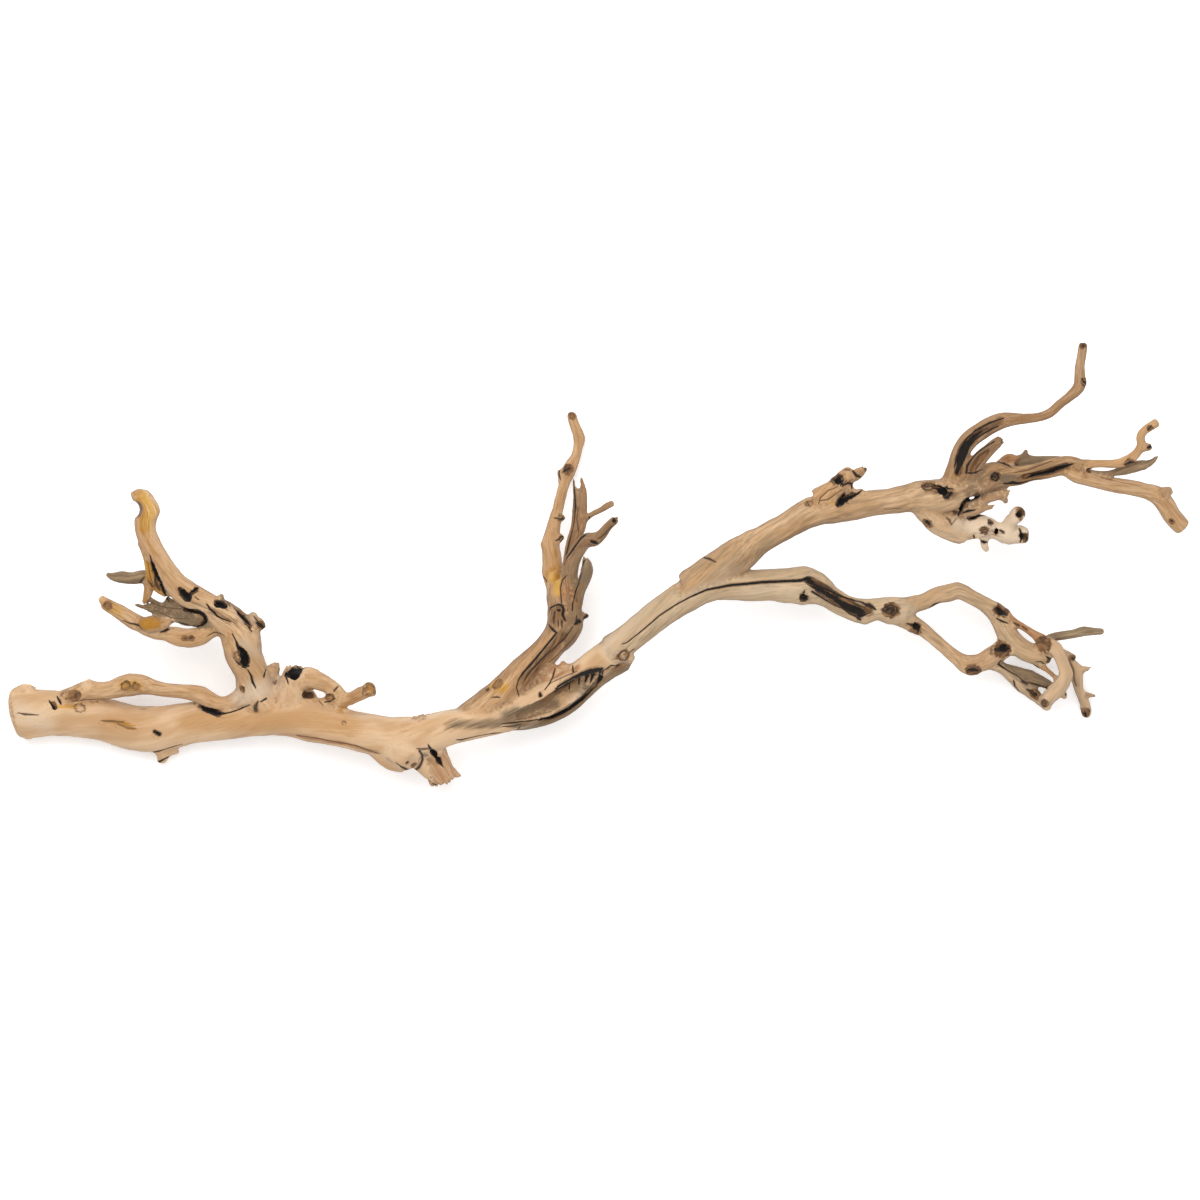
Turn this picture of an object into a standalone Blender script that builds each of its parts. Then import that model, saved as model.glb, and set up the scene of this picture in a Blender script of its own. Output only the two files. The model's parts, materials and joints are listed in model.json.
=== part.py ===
"""A sandblasted grapevine branch, lying on a surface the way it is set down in a terrarium.

One piece of wood: a sawn trunk on the left, three crowns of spurs and a fork of two arms on the right.
Each limb is a curve through hand-placed points with its own radius at each point. The limbs are fused
by a voxel remesh, which leaves the soft fillets of grown wood, and the open hollows are then cut out.
Limb and hollow sizes are in millimetres: x to the right, y up the picture, z towards the viewer.
"""

import math

import bmesh
import bpy
from mathutils import Vector
from mathutils.bvhtree import BVHTree

MM = 0.001
NAME = "grapevine_branch"

# How finely the wood is fused, and how many triangles the finished solid keeps
FUSE_VOXEL = 1.25 * MM
FUSE_SMOOTHING = 3
FINISHED_TRIANGLES = 11000
MENDING_ROUNDS = 4

# The fusing rounds off this much of every limb, and up to this much more of a tip, so limbs start thicker
SKIN_LOSS = 0.3
TIP_LOSS = 1.4
THINNEST = 1.3

# A flat strand is this much thinner than it is wide
FLAT_SHARE = 0.6
ROUND_SIDES = 12
CURVE_STEPS = 4

# The trunk, from the sawn end to the elbow, and what grows straight out of it
TRUNK = {
    "trunk": [
        (-395, -100, 19.5, 14.6), (-390, -99.8, 19, 15.4), (-381, -100, 18, 16.2), (-366, -99.5, 17, 15),
        (-350, -101, 16, 14.5), (-332, -104, 15, 14.2), (-312, -109.5, 14.6, 15.2), (-298, -110.3, 15.5, 15.2),
        (-272, -106, 19, 13.8), (-250, -103.5, 23, 13.6), (-228, -101, 27, 13.9), (-208, -100.5, 31, 14.2),
        (-190, -104.5, 34, 14.4), (-170, -109.8, 37, 12.8), (-150, -114.3, 40, 13.4), (-134, -117, 42, 14.8),
        (-118, -114.5, 44, 13.6), (-100, -109, 46, 11.8), (-84, -105.8, 47, 10.8), (-65, -101.5, 48, 11),
        (-46, -95, 49, 11.5), (-28, -85, 50, 11.3), (-13, -74.5, 52, 9.8), (-1, -64.8, 54, 9),
        (9, -57.8, 55, 9.4),
    ],
    "end_tuft": [(-388, -86, 22, 3), (-384, -82.5, 24, 2.2), (-378, -83.5, 24, 1.8)],
    "under_nub": [(-296, -120, 13, 7), (-292, -127, 11, 5), (-293.5, -132, 10, 2)],
    "under_flake": [(-291, -125, 11, 4.5), (-283, -124, 12, 2.6)],
    "torn_stub": [(-117, -112, 43, 12), (-112.5, -124, 38, 9.8), (-108, -134, 33, 9.4), (-104, -143, 29, 9)],
    "torn_stub_left": [(-112, -137, 34, 4.5), (-111.5, -146, 31, 2.2)],
    "torn_stub_flank": [(-128, -122, 42, 8), (-119, -132, 38, 6.5), (-113, -140, 34, 4)],
    "torn_stub_right": [(-100, -138, 30, 4), (-94.5, -141, 29, 1.8)],
    "stub_lobe": [(-134, -120, 45, 12), (-129, -128.5, 49, 9.3), (-126.3, -131.5, 52, 7)],
    "stub_corner": [(-145, -122, 40, 10), (-138.5, -130.5, 38, 7), (-130, -134, 37, 5)],
    "belly_strip": [
        (-78, -108, 44, 5), (-60, -106.3, 43, 4.8), (-45, -105.6, 42, 4.2), (-30, -101.4, 43, 3.9),
        (-18, -94.6, 44, 3.9), (-8, -85.8, 46, 3.7), (1, -78, 48, 3.7), (10, -72.3, 49, 3.4),
        (18, -68.3, 50, 2.7),
    ],
    "belly_wood": [(-50, -98, 43, 8), (-25, -88, 43, 8), (-6, -76, 45, 7), (7, -68, 48, 5)],
    "orange_strip": [(-40, -78, 46, 6), (-30, -73.5, 48, 6), (-22, -71.5, 49, 4), (-14, -69, 50, 4)],
    "orange_thorn": [(-24, -70, 49, 3), (-24, -65.5, 50, 1)],
}

# The bowed side shoot that leaves the trunk near the sawn end and grows back into it
SIDE_SHOOT = {
    "arch": [
        (-357, -92, 20, 8), (-350, -88.5, 23, 7), (-342, -84.8, 25, 6.8), (-333, -84.8, 26, 5.8),
        (-326, -84, 27, 5.8), (-320, -82, 27, 6.8), (-313.5, -80.7, 27, 7.6), (-306, -80.5, 27, 6.6),
        (-298, -82.3, 27, 4.9), (-290, -84, 27, 4.5), (-280, -85, 28, 4.5), (-272, -86, 29, 5.2),
        (-266, -87.5, 30, 5.8), (-260, -91, 31, 5.6), (-254, -93.5, 32, 5), (-247, -93, 33, 5.2),
        (-240, -90, 35, 6.5), (-233, -86, 37, 9),
    ],
    "arch_splinter": [(-344, -82, 27, 4), (-340, -78, 28, 1.4)],
}

# The left crown: an upright that breaks into a tall finger, a low finger and split spurs
LEFT_CROWN = {
    "tall_finger": [
        (-222, -96, 30, 13), (-229, -84, 36, 12.5), (-232, -72, 43, 11.3), (-237, -60, 50, 12.4),
        (-239.5, -50, 56, 12.3), (-246, -39.5, 62, 9.8), (-256, -30.8, 67, 8.6), (-266, -24.3, 71, 8.4),
        (-275.5, -18.8, 75, 8.8), (-283.5, -10.5, 79, 7.6), (-290, 0.5, 83, 6.3), (-297, 12, 87, 6.6),
        (-300.8, 22, 90, 6.9), (-300.8, 29, 92, 7.4), (-299.6, 36, 94, 7.4), (-301.5, 41.5, 95, 6.6),
        (-303.5, 45, 95, 5.6),
    ],
    "finger_head": [(-301, 44, 95, 5.4), (-306, 45.7, 95, 4.4)],
    "golden_strand": [
        (-303, 14, 86, 3.5), (-301, 9, 84, 3.3), (-299.5, 2, 82, 2.8), (-298.3, -5, 80, 2.8),
        (-297, -11, 78, 3), (-293.5, -16, 76, 2.6), (-288, -20, 74, 2.2),
    ],
    "finger_web": [(-299, 10, 82, 4), (-294.5, 0, 78, 3.6), (-290, -9, 75, 4), (-283, -18, 71, 5)],
    "grey_finger": [
        (-294, -10, 75, 5), (-303, -8.5, 71, 4.4), (-311, -9.5, 68, 3.9), (-318, -8.7, 65, 4),
        (-323, -8.5, 63, 3), (-327, -7, 62, 1),
    ],
    "wedge": [(-298.5, -12, 74, 4), (-300, -19, 70, 3), (-302.5, -25.5, 66, 1.4)],
    "low_finger": [
        (-243, -46, 58, 8.5), (-251, -42, 60, 5.5), (-258, -43.8, 60, 5.2), (-264, -47.5, 59, 6),
        (-272, -49.3, 58, 6.5), (-281, -48.2, 58, 6.2), (-289, -46, 59, 5), (-297, -44.5, 60, 5),
        (-304, -41, 62, 5.2), (-311, -37.2, 64, 5.2), (-318, -32.5, 67, 4.7), (-325, -28.4, 70, 4.3),
        (-328.5, -26.6, 72, 3.9),
    ],
    "low_finger_knob": [
        (-303, -40, 66, 4), (-298, -40, 67, 5.8), (-292, -39.8, 66, 4.4), (-287, -38.3, 66, 3),
        (-283.5, -36.5, 66, 1.4),
    ],
    "right_strand": [(-232, -55, 53, 7.5), (-230, -46, 57, 4.3), (-231, -38, 60, 3.4), (-230, -34, 62, 2.8)],
    "right_knob": [(-230, -38, 59, 3), (-226, -39.5, 59, 3.2), (-224.5, -42.3, 59, 2.2)],
    "grey_stub": [(-236, -39, 58, 4.8), (-243, -34.5, 61, 6), (-249, -31, 64, 6.5), (-253.5, -27.5, 67, 5)],
    "grey_stub_thorn": [(-252, -26, 67, 3), (-251, -21, 69, 1.2)],
    "plank_root": [(-288, -25, 67, 3), (-280, -29, 67, 4), (-272, -32, 66, 4.6), (-264, -35, 65, 5)],
    "upright_nub": [(-219, -74, 36, 5), (-216, -68, 38, 3.4)],
}
LEFT_CROWN_FLAT = {
    "grey_plank": [
        (-308.5, -27, 61, 1.2), (-303, -28.6, 62, 1.9), (-297, -29.7, 63, 3.2), (-291, -31, 64, 4),
        (-284, -32.6, 65, 4.6), (-276, -35.8, 65, 5), (-268, -37, 65, 5), (-260, -38.5, 64, 4),
    ],
    "grey_plank_prong": [(-299.5, -22.5, 65, 1.2), (-294, -26.5, 65, 2.2), (-287, -30, 65, 3)],
}

# The hollow stump beside the left crown, with its crooked spur
STUMP = {
    "stump": [(-206, -92, 34, 12), (-205, -84, 37, 11), (-203, -76, 41, 8.8), (-202, -71.5, 43, 7.2)],
    "stump_arm": [
        (-199, -77, 41, 8), (-193, -76, 42, 7.2), (-187, -78.3, 42, 6.2), (-181, -81, 41, 5.2),
        (-176, -85, 40, 5), (-172.5, -90, 39, 5.2), (-172, -96, 38, 3.6), (-171, -99, 37.5, 1.8),
    ],
    "stump_sill": [(-195, -93, 38, 5), (-186, -92.8, 39, 3), (-179, -91.5, 40, 3.6), (-173, -91, 40, 4.4)],
    "stump_spur": [
        (-173, -91, 40, 4.6), (-167, -90.3, 41, 4.2), (-160, -87, 43, 4.4), (-154, -84.5, 45, 4.4),
        (-151, -83.7, 46.5, 4.3),
    ],
}

# The middle crown: a tall cane that bows down to the ground, and the split wood beside it
MIDDLE_CROWN = {
    "crown_root": [
        (-93, -104.5, 46, 7.5), (-83, -99, 47, 9.3), (-73, -93.5, 48, 11), (-62, -85.5, 48, 12),
        (-50, -73, 46, 11),
        (-40, -63, 44, 9.8), (-31, -53, 42, 9.5), (-25, -43, 41, 10.5), (-23.5, -33, 41, 11),
        (-24, -23, 40, 10),
        (-25, -13, 38, 8),
    ],
    "tall_cane": [
        (-28, -25, 38, 6.5), (-29, -15, 36, 6), (-31, -6, 34, 6.5), (-31.5, 2, 32, 6.2), (-32, 9, 30, 6),
        (-32, 16, 28, 5.8), (-31, 22, 26, 4.8), (-29.5, 29, 24, 4.3), (-28, 35, 22, 3.6), (-25.8, 44, 19, 3.5),
        (-24, 51, 17, 3.4), (-22.5, 56.5, 15.5, 3.8), (-20.5, 61.5, 14, 4.8), (-18.5, 66.5, 12.5, 4.4),
        (-15.6, 72, 11, 3.1), (-14.3, 78, 9, 2.9), (-13.3, 84.5, 7, 3.8), (-15.5, 91, 5, 3.2),
        (-17.6, 96.5, 3, 2.9), (-18.3, 100, 2.4, 3),
    ],
    "cane_knob": [(-34, 11, 29, 4), (-36, 14, 28, 3.2)],
    "cane_flake_top": [(-25, 56, 15, 2.4), (-26.6, 62, 15, 1.4)],
    "cane_flake_middle": [(-28, 31, 25, 2.6), (-23.5, 30.8, 26, 1.3)],
    "cane_flake_low": [(-29, 17, 28, 3.4), (-25, 18.5, 29, 1.4)],
    "split_limb": [
        (-20, -25, 42, 6.5), (-20, -14, 44, 6), (-19.5, -4, 46, 5.5), (-17, 4, 48, 5), (-13, 11, 50, 4.8),
        (-8, 16, 52, 4.8), (-3, 16.5, 54, 4.6), (1.5, 19.5, 56, 3.4), (5, 24, 59, 2.9), (9, 28, 62, 2.8),
        (11, 29.5, 64, 2.6),
    ],
    "ear": [
        (-15, -27, 46, 4), (-13, -18, 49, 3.8), (-9.5, -10, 52, 4), (-8, -4, 54, 4.2), (-8.3, 1, 55, 3),
        (-9.3, 4, 55, 1.4),
    ],
    "split_spur": [(-9, 30, 42, 2), (-5, 33, 44, 1.9), (1, 36, 47, 1.9), (6, 39, 50, 2.2), (9, 40.5, 51, 1.9)],
    "crown_thorn": [(-13, -34, 44, 2.6), (-7.5, -34.6, 44, 1.2)],
    "crown_side": [
        (-29, -56, 42, 6), (-22.5, -49, 43, 7), (-18.5, -42, 44, 7.4), (-17, -34, 46, 6),
        (-19, -26, 46, 5),
    ],
}
MIDDLE_CROWN_FLAT = {
    "split_plank": [
        (-22, -2, 41, 3), (-20, 8, 41, 3.4), (-17.5, 16, 41, 4.2), (-14, 24, 41, 5), (-13, 33, 40, 5),
        (-11.8, 40, 40, 4.2), (-10.6, 47, 40, 2.9), (-10.5, 51, 40, 2), (-12, 56.5, 41, 1.2),
    ],
    "split_plank_tip": [(-15.5, 36, 40, 2.6), (-15.9, 47, 40, 1.8), (-16.5, 52, 40, 1.4), (-17, 55.5, 40, 1.1)],
}

# The main limb, from the elbow past the fork to the knotted joint where the lower arm divides
MAIN_LIMB = {
    "main_limb": [
        (9, -57, 55, 10.2), (21, -48.5, 56, 9.8), (41.5, -32, 58, 10), (57.5, -21.5, 60, 10.8),
        (72, -14, 61, 11.5),
        (86, -13, 61, 10.8), (100, -14.6, 60, 10.3), (114, -14, 58, 10.2), (126, -14.5, 56, 11.5),
        (137, -14.5, 54, 13), (146, -17, 52, 10.8), (154, -22, 50, 7.6), (165, -28.5, 47, 7.4),
        (176, -31.5, 44, 8.3), (186, -30.3, 42, 7.1), (194, -31, 40, 9.2), (203, -31.5, 38, 9),
    ],
    "upper_arm": [
        (60, -16, 61, 11), (76, -5, 64, 11.5), (93, 6, 67, 11.8), (108.5, 16.5, 70, 8.6), (125, 25.5, 72, 8.6),
        (140, 33.9, 74, 9.9), (155, 36.9, 75, 10.2), (168, 38, 76, 8.9), (180, 40.3, 76, 8.3),
        (192, 41.5, 76, 8.2), (204, 43.5, 76, 9), (214, 44.8, 76, 10.8), (224, 45, 76, 11.3),
        (234, 46.5, 76, 11), (243, 48, 75, 10),
    ],
    "shoulder_nub": [(60, -8, 62, 5), (58, -4.5, 62, 3)],
    "old_leaf_scar": [(15, -60, 58, 6), (22, -63.5, 56, 2.4)],
    "elbow_flake": [(12, -62, 52, 5), (20.5, -66.5, 51, 1.8)],
    "channel_corner": [(176, -34, 43, 5), (178.5, -38, 42, 2.6)],
}

# The gnarled spur half way along the upper arm
GNARL = {
    "gnarl": [
        (146, 42.5, 77, 8), (151, 45.5, 78, 7.4), (157, 50, 79, 6.2), (162, 55, 81, 5), (164.5, 59, 83, 5),
        (163, 62, 84, 3.2),
    ],
    "gnarl_eye": [(160, 53, 81, 3.6), (158.3, 55.3, 82, 3.4)],
    "gnarl_tip": [
        (165, 57.5, 82, 4.4), (170.5, 58.5, 83, 3.6), (174.5, 61.8, 84, 2.7), (176.3, 63.2, 84.5, 2.2),
    ],
    "gnarl_leg": [(165.5, 55, 80, 3), (166.8, 50.5, 79, 2.2), (169, 45.5, 77, 3)],
    "gnarl_thorn": [(169, 46, 78, 2.4), (174.5, 49, 80, 1.2)],
}

# The right crown: a horn-shaped cane, a stub, the long arm with its twigs, and a row of pale knobs
RIGHT_CROWN = {
    "horn": [
        (235, 50, 76, 9.5), (236.5, 58, 78, 7.2), (238, 66, 81, 6), (240.5, 74.5, 84, 5.8), (245.5, 82, 87, 6),
        (253.5, 88, 89, 5.8), (262, 93, 91, 5.7), (270, 95.5, 92, 5), (277, 96, 92, 3.8), (284, 96.5, 91, 3.2),
        (292, 97.4, 90, 2.8), (299, 100, 88, 3), (306, 106, 86, 2.9), (313, 111.5, 84, 3.2), (319, 118, 82, 4),
        (319.5, 124.5, 81, 3.6), (319.5, 131, 80, 3.1), (320.7, 138, 79, 3), (321.8, 145.3, 78, 2.9),
    ],
    "horn_stub": [
        (244, 54, 78, 6), (248.5, 63, 83, 5.6), (253, 70, 87, 4.7), (259, 76, 91, 4), (264, 80.5, 94, 3.6),
        (266.3, 82, 95, 3),
    ],
    "arm_top": [
        (240, 50, 76, 9), (250, 56, 76, 7.2), (257, 60, 76, 6.2), (264, 62.5, 75, 5.4), (274, 61.6, 74, 3.8),
        (284, 62.6, 73, 3), (294, 65, 72, 2.8), (304, 68, 71, 2.8), (313, 69.3, 70, 2.5), (320, 67.5, 68, 2.3),
    ],
    "arm_low": [
        (252, 52, 74, 6.5), (261, 55, 73, 6), (270, 55.5, 72, 4.6), (278, 55, 71, 2.8), (288, 57.2, 70, 2),
        (298, 59, 69, 2.2), (306, 61.2, 68, 2.6), (313, 62.8, 66, 3.8), (320, 60, 64, 5),
    ],
    "arm_wood": [(268, 58, 69, 4), (280, 59, 67, 3.6), (295, 62, 66, 3.6), (308, 65.5, 66, 3.4)],
    "red_stub": [(266, 65, 70, 3.2), (272.5, 69.3, 70, 4), (277, 69.5, 68, 3)],
    "lower_twig": [
        (312, 62.5, 66, 4.5), (319, 59, 64, 5.4), (326, 56.8, 61, 5), (335, 54.3, 57, 4.7), (345, 52.3, 53, 5),
        (355, 50.8, 49, 5), (365, 48.5, 45, 5), (373, 45.5, 42, 6), (378, 40, 40, 6.2), (382, 33, 38, 6),
        (387, 27, 36, 5.8), (389.3, 24.8, 35, 5.4),
    ],
    "twig_corner": [(376, 47, 44, 4.2), (381, 49, 46, 2.6)],
    "upper_twig": [
        (314, 66, 66, 3.6), (324, 66.5, 65, 2.9), (334, 66.7, 65, 2.4), (344, 66.7, 66, 2.8),
        (351, 68.6, 68, 3.4),
        (357, 73, 71, 3), (360.5, 79, 74, 2.8), (360, 84.5, 76, 2.8), (362.5, 88.6, 78, 2.8),
        (367, 91.6, 80, 3),
        (370.6, 93.6, 81, 2.9),
    ],
    "dark_knob": [(361, 77, 73, 2.5), (366.3, 77.7, 75, 2.3)],
    "bulge": [
        (216, 38, 74, 8), (221, 32.5, 72, 8), (226, 28.2, 70, 8.6), (232, 25.8, 69, 9.2), (238, 23, 68, 9),
        (243, 21, 67, 8),
    ],
    "knobs": [
        (243, 23.5, 68, 7.8), (250, 24.6, 67, 7.8), (257, 24.6, 66, 7.4), (263, 22.5, 65, 5.2),
        (270, 20.3, 64, 6.4),
        (276, 19.3, 63, 6.4), (281, 19.6, 63, 5.6), (284.5, 19.5, 63, 4),
    ],
    "knob_drop": [(257, 18, 65, 3.4), (256.5, 12.6, 64, 2.2), (258.3, 9.8, 62, 1.6)],
    "knob_rise": [(272, 22, 66, 5), (274, 28, 69, 4.6), (277.5, 32, 72, 4.1), (279.5, 34, 74, 4)],
    "middle_strand": [
        (238, 38, 72, 5), (248, 40.3, 71, 3.7), (256, 42.7, 70, 3.1), (263, 45, 69, 2.9),
        (269, 46.6, 68, 3), (272, 48, 68, 1.8),
    ],
    "middle_hook": [(268.7, 45.5, 68, 2.4), (270.8, 41.3, 67, 1.6)],
    "top_sliver": [
        (248, 49, 72, 3.4), (254, 50, 71, 2.5), (260, 50.6, 70, 1.8), (266, 50.8, 70, 1.5),
        (273, 53.5, 70, 1.2),
    ],
    "low_sliver": [(240, 33.5, 72, 4), (250, 35, 73, 2.8), (257, 36.8, 73, 1.6), (262, 38.2, 73, 1.2)],
}
RIGHT_CROWN_FLAT = {
    "arm_plank": [
        (270, 66, 66, 4.5), (281, 68, 64, 5), (292, 67.8, 63, 4.4), (303, 68.4, 63, 3.6),
        (314, 68.5, 64, 3),
    ],
    "arm_plank_thorn": [(282.5, 70, 64, 3), (284.3, 75.5, 65, 1.4)],
    "ragged_plank": [
        (322, 61.5, 61, 3), (334, 60.2, 59, 2), (342, 60.7, 59, 2.3), (350, 62.6, 60, 3.6), (357, 65, 61, 4.2),
        (363, 66, 62, 3.5), (368, 68, 62, 2), (371.5, 71.5, 62, 1.3),
    ],
}

# The open loop of the lower arm and the tangle of spurs beyond it
LOOP = {
    "loop_upper": [
        (203, -30, 38, 8), (210, -26.8, 37, 5.6), (218, -24.8, 37, 5.3), (226, -20.8, 37, 5.5),
        (233, -19.6, 36, 5.8),
        (240, -18, 36, 5.4), (248, -21.8, 35, 4.8), (256, -26, 34, 4.8), (263, -31, 33, 5.6),
        (269, -38, 32, 6.8),
        (272, -45, 31, 6.8), (277, -52, 30, 6.8), (285, -58, 29, 6.6), (293, -60.5, 28, 6.8),
        (300, -60, 28, 5.5),
    ],
    "loop_lower": [
        (200, -34, 38, 7.5), (206, -38, 37, 5.8), (214, -42, 35, 4.7), (222, -48.5, 32, 4.1),
        (231, -56.3, 29, 3.9),
        (239, -62.8, 27, 4.5), (247, -67.2, 26, 6.8), (255, -66, 26, 6.2), (262, -62.5, 27, 7),
        (269, -57.5, 29, 6.5),
        (275, -53, 30, 6),
    ],
    "low_strand": [
        (260, -66, 26, 4.2), (269, -69.8, 24, 3.2), (277, -76.5, 22, 3.8), (283, -81.5, 21, 4.2),
        (290, -86.5, 20, 4.2),
        (296, -92, 19, 3.4), (299.5, -96, 18, 2),
    ],
    "front_limb": [
        (295, -56, 29, 5), (303, -55, 34, 4.6), (307, -60, 36, 4.4), (310, -67, 36, 4.2), (311.5, -74, 35, 4.4),
        (309, -80, 33, 5), (304, -85.5, 30, 5.2), (299.5, -91, 26, 4.6), (299, -96, 23, 2.8),
    ],
    "bridge_twig": [
        (271, -34, 33, 3.5), (278, -39, 35, 2.3), (284, -42.5, 36, 2.2), (290, -46.5, 36, 2.6),
        (295, -50, 35, 3.2), (297, -55, 32, 4.5),
    ],
    "grey_twig": [
        (297, -53, 27, 3.5), (303, -49, 26, 2.9), (311, -47.5, 26, 2.9), (318, -46.3, 27, 2.9),
        (324, -44.8, 28, 3.3),
        (331, -45, 29, 2.5), (336.5, -45, 30, 1.9),
    ],
    "far_strand": [
        (300, -57, 30, 4), (306, -58.5, 29, 4), (311.5, -61.5, 26, 3.4), (315.5, -66, 23, 3.6),
        (319, -71.5, 20, 4.8),
        (320, -77, 16, 3.8), (321, -83, 12.5, 3), (323.5, -89, 9, 2.9), (326, -95, 5, 3.2),
        (326.8, -98.5, 2.6, 3.2),
        (326.3, -101.5, 2.4, 2.2),
    ],
    "tuft_top": [(313, -60.5, 26, 2.6), (317.5, -62, 26, 1.4)],
    "tuft_side": [(321, -70.5, 20, 2.6), (328, -70, 20, 1.2)],
    "tuft_low": [(323.5, -86.5, 10, 2.2), (331, -88, 9, 1.2)],
    "tuft_back": [(308, -83, 29, 3.4), (311.5, -89, 28, 1.8)],
    "sliver_back": [(293, -66.5, 28, 2.4), (299, -70.5, 28, 1.7), (305.5, -76, 30, 1.4)],
}
LOOP_FLAT = {
    "loop_plank": [
        (262, -64.5, 25, 3.6), (272, -69.3, 22, 3), (280, -72.3, 20, 3.8), (288, -75, 19, 4.5),
        (296, -78.5, 18, 3.8),
        (303, -82, 18, 3),
    ],
}

ROUND_LIMBS = [TRUNK, SIDE_SHOOT, LEFT_CROWN, STUMP, MIDDLE_CROWN, MAIN_LIMB, GNARL, RIGHT_CROWN, LOOP]
FLAT_LIMBS = [LEFT_CROWN_FLAT, MIDDLE_CROWN_FLAT, RIGHT_CROWN_FLAT, LOOP_FLAT]

# Hollows that open towards the viewer: x, y, radius, and how far its middle lies under the wood's surface
HOLLOWS = {
    "scoop": [(-52, -101, 3.6, 1), (-40, -97, 5.6, 2), (-26, -90, 7.4, 3), (-13, -82, 7.6, 4), (-3, -75, 5, 4)],
    "channel": [
        (139, -10.5, 3, 1), (149, -17, 4, 2), (162, -25, 4.4, 2), (173, -31.5, 4.4, 2), (180, -31, 2.6, 1),
    ],
    "crown_window": [(-239, -56.5, 2.6, 2), (-236.5, -61, 3.4, 3), (-236, -65, 4, 4)],
    "finger_hole": [(-277, -18.5, 2.6, 2), (-273, -22.5, 3.2, 3)],
    "finger_hole_tail": [(-271.5, -20, 1.5, 1), (-267.5, -17, 1.7, 2)],
    "knot_hole": [(-255, -26.5, 2.8, 2), (-250, -28.5, 3.4, 4)],
    "side_shoot_hole": [(-265, -96, 2.4, 1), (-259, -98, 3.2, 2), (-253, -100, 3, 2), (-247, -99, 1.8, 1)],
    "junction_hole": [(223.5, 50.5, 2.6, 2), (229.5, 47, 4, 4)],
    "gnarl_cavity": [(158.5, 39.5, 2.2, 1), (163, 42.5, 3.6, 3), (169, 46, 2.2, 1)],
    "horn_channel": [
        (238.5, 60, 2.2, 1), (239.5, 68, 3, 1), (243, 77, 3.4, 1), (249, 84, 2.6, 1), (257, 89.5, 1.6, 0),
    ],
    "horn_stub_channel": [(247.5, 62, 2, 1), (253, 69.5, 2.6, 1), (258.5, 75, 1.6, 0)],
    "arm_crevice": [(282, 58.6, 1.4, 1), (292, 60.5, 2.2, 1), (302, 62.8, 2.6, 1), (311, 65.8, 1.6, 0)],
    "stub_slit": [(-112.5, -122.5, 1.6, 1), (-109.5, -127, 2.3, 3), (-106, -132.5, 1.6, 1)],
    "crown_socket": [(-30, -33, 3.4, 2), (-24.5, -33, 2.6, 2)],
    "pocket": [(-196.5, -87, 2.2, 1), (-193.5, -88, 2.6, 1)],
    "loop_knot_top": [(264.5, -30.5, 2.6, 1), (267, -32.5, 2.6, 1)],
    "loop_knot_low": [(270, -55.5, 2.4, 1), (273.5, -56, 2.6, 1)],
    "loop_knot_left": [(210.5, -40, 2, 1), (213, -42, 2.2, 1)],
    "loop_knot_corner": [(247.5, -70, 2.2, 0), (250.5, -70.3, 2.2, 0)],
    "lower_arm_knot": [(134.5, -21.3, 2.2, 1), (137, -21.6, 2.2, 1)],
    "joint_knot": [(192, -30.2, 2.6, 0), (195.5, -31, 2.6, 0)],
    "arm_ring_knot": [(261.5, 57.8, 2.2, 0), (264, 58.5, 2.2, 0)],
    "upper_ring_knot": [(216.5, 50.8, 2, 0), (220.5, 50.6, 2, 0)],
    "knob_rise_end": [(278.3, 32.2, 2.2, 1), (280.2, 34, 2.2, 1)],
    "knobs_end": [(280.5, 18.8, 2.6, 1), (283, 18.4, 2.6, 1)],
    "gnarl_eye_socket": [(158.8, 54, 2, 1), (159.4, 56, 2, 1)],
    "arch_knot": [(-316.5, -81, 2, 0), (-311.5, -81, 2, 0)],
    "head_notch": [(-305, 38, 2, 1), (-304.5, 32.5, 2.2, 1)],
    "cane_knot": [(-21.5, 60, 1.8, 0), (-20, 62, 1.8, 0)],
    "trunk_knot": [(-353, -90.5, 2.4, 1), (-348.5, -88.5, 2.4, 1)],
}

# The stump's mouth is bored down from its torn end: x, y, z and radius
STUMP_BORE = [(-202, -64, 53, 5.4), (-203, -71, 48, 5.2), (-203.5, -79, 42, 4.2), (-204.5, -86, 37, 2.6)]

# Narrow seams between strands that grew together, as places in the picture
SEAMS = {
    "main_seam": [
        (18, -52.8), (30, -43.5), (40, -34.7), (50, -28), (60, -22.5), (72, -17.3), (88, -14.2),
        (108, -12.2), (136, -10.5),
    ],
    "belly_seam": [(-62, -106.3), (-45, -104.8), (-30, -101.3), (-18, -95), (-7, -85), (1, -75)],
    "plank_seam": [(-277, -30), (-272, -31), (-265.5, -32.3), (-261.5, -36.5), (-264.5, -41)],
    "cane_seam": [(-31, -48), (-39, -60), (-47, -69), (-53, -77)],
    "ear_seam": [(-12, -6), (-15, -16), (-17.5, -28)],
    "window_seam": [(-233, -72), (-231.5, -77), (-229.5, -81.5)],
    "finger_seam": [(-296.5, 1), (-295, -5), (-291.5, -12), (-288.5, -20)],
    "strand_seam": [(-241, -32), (-236, -37), (-231.5, -43)],
}
SEAM_WIDTH = 2.2
SEAM_DEPTH = 3.4

# The ends of a hollow run on by this share of their radius, and narrow to this share of it
RUN_ON = 0.8
RUN_ON_RADIUS = 0.5
SEAM_END_SHARE = 0.33

# The saw cut at the trunk's end, a little askew. The plane z = 0 cuts the three worn spots it stands on
SAW_CUT_PLACE = (-391.8, -100, 19)
SAW_CUT_OUTWARDS = (-0.975, -0.222, 0)


def clear_scene():
    for old in list(bpy.data.objects):
        bpy.data.objects.remove(old)


def new_collection(name):
    found = bpy.data.collections.new(name)
    bpy.context.scene.collection.children.link(found)
    return found


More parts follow.
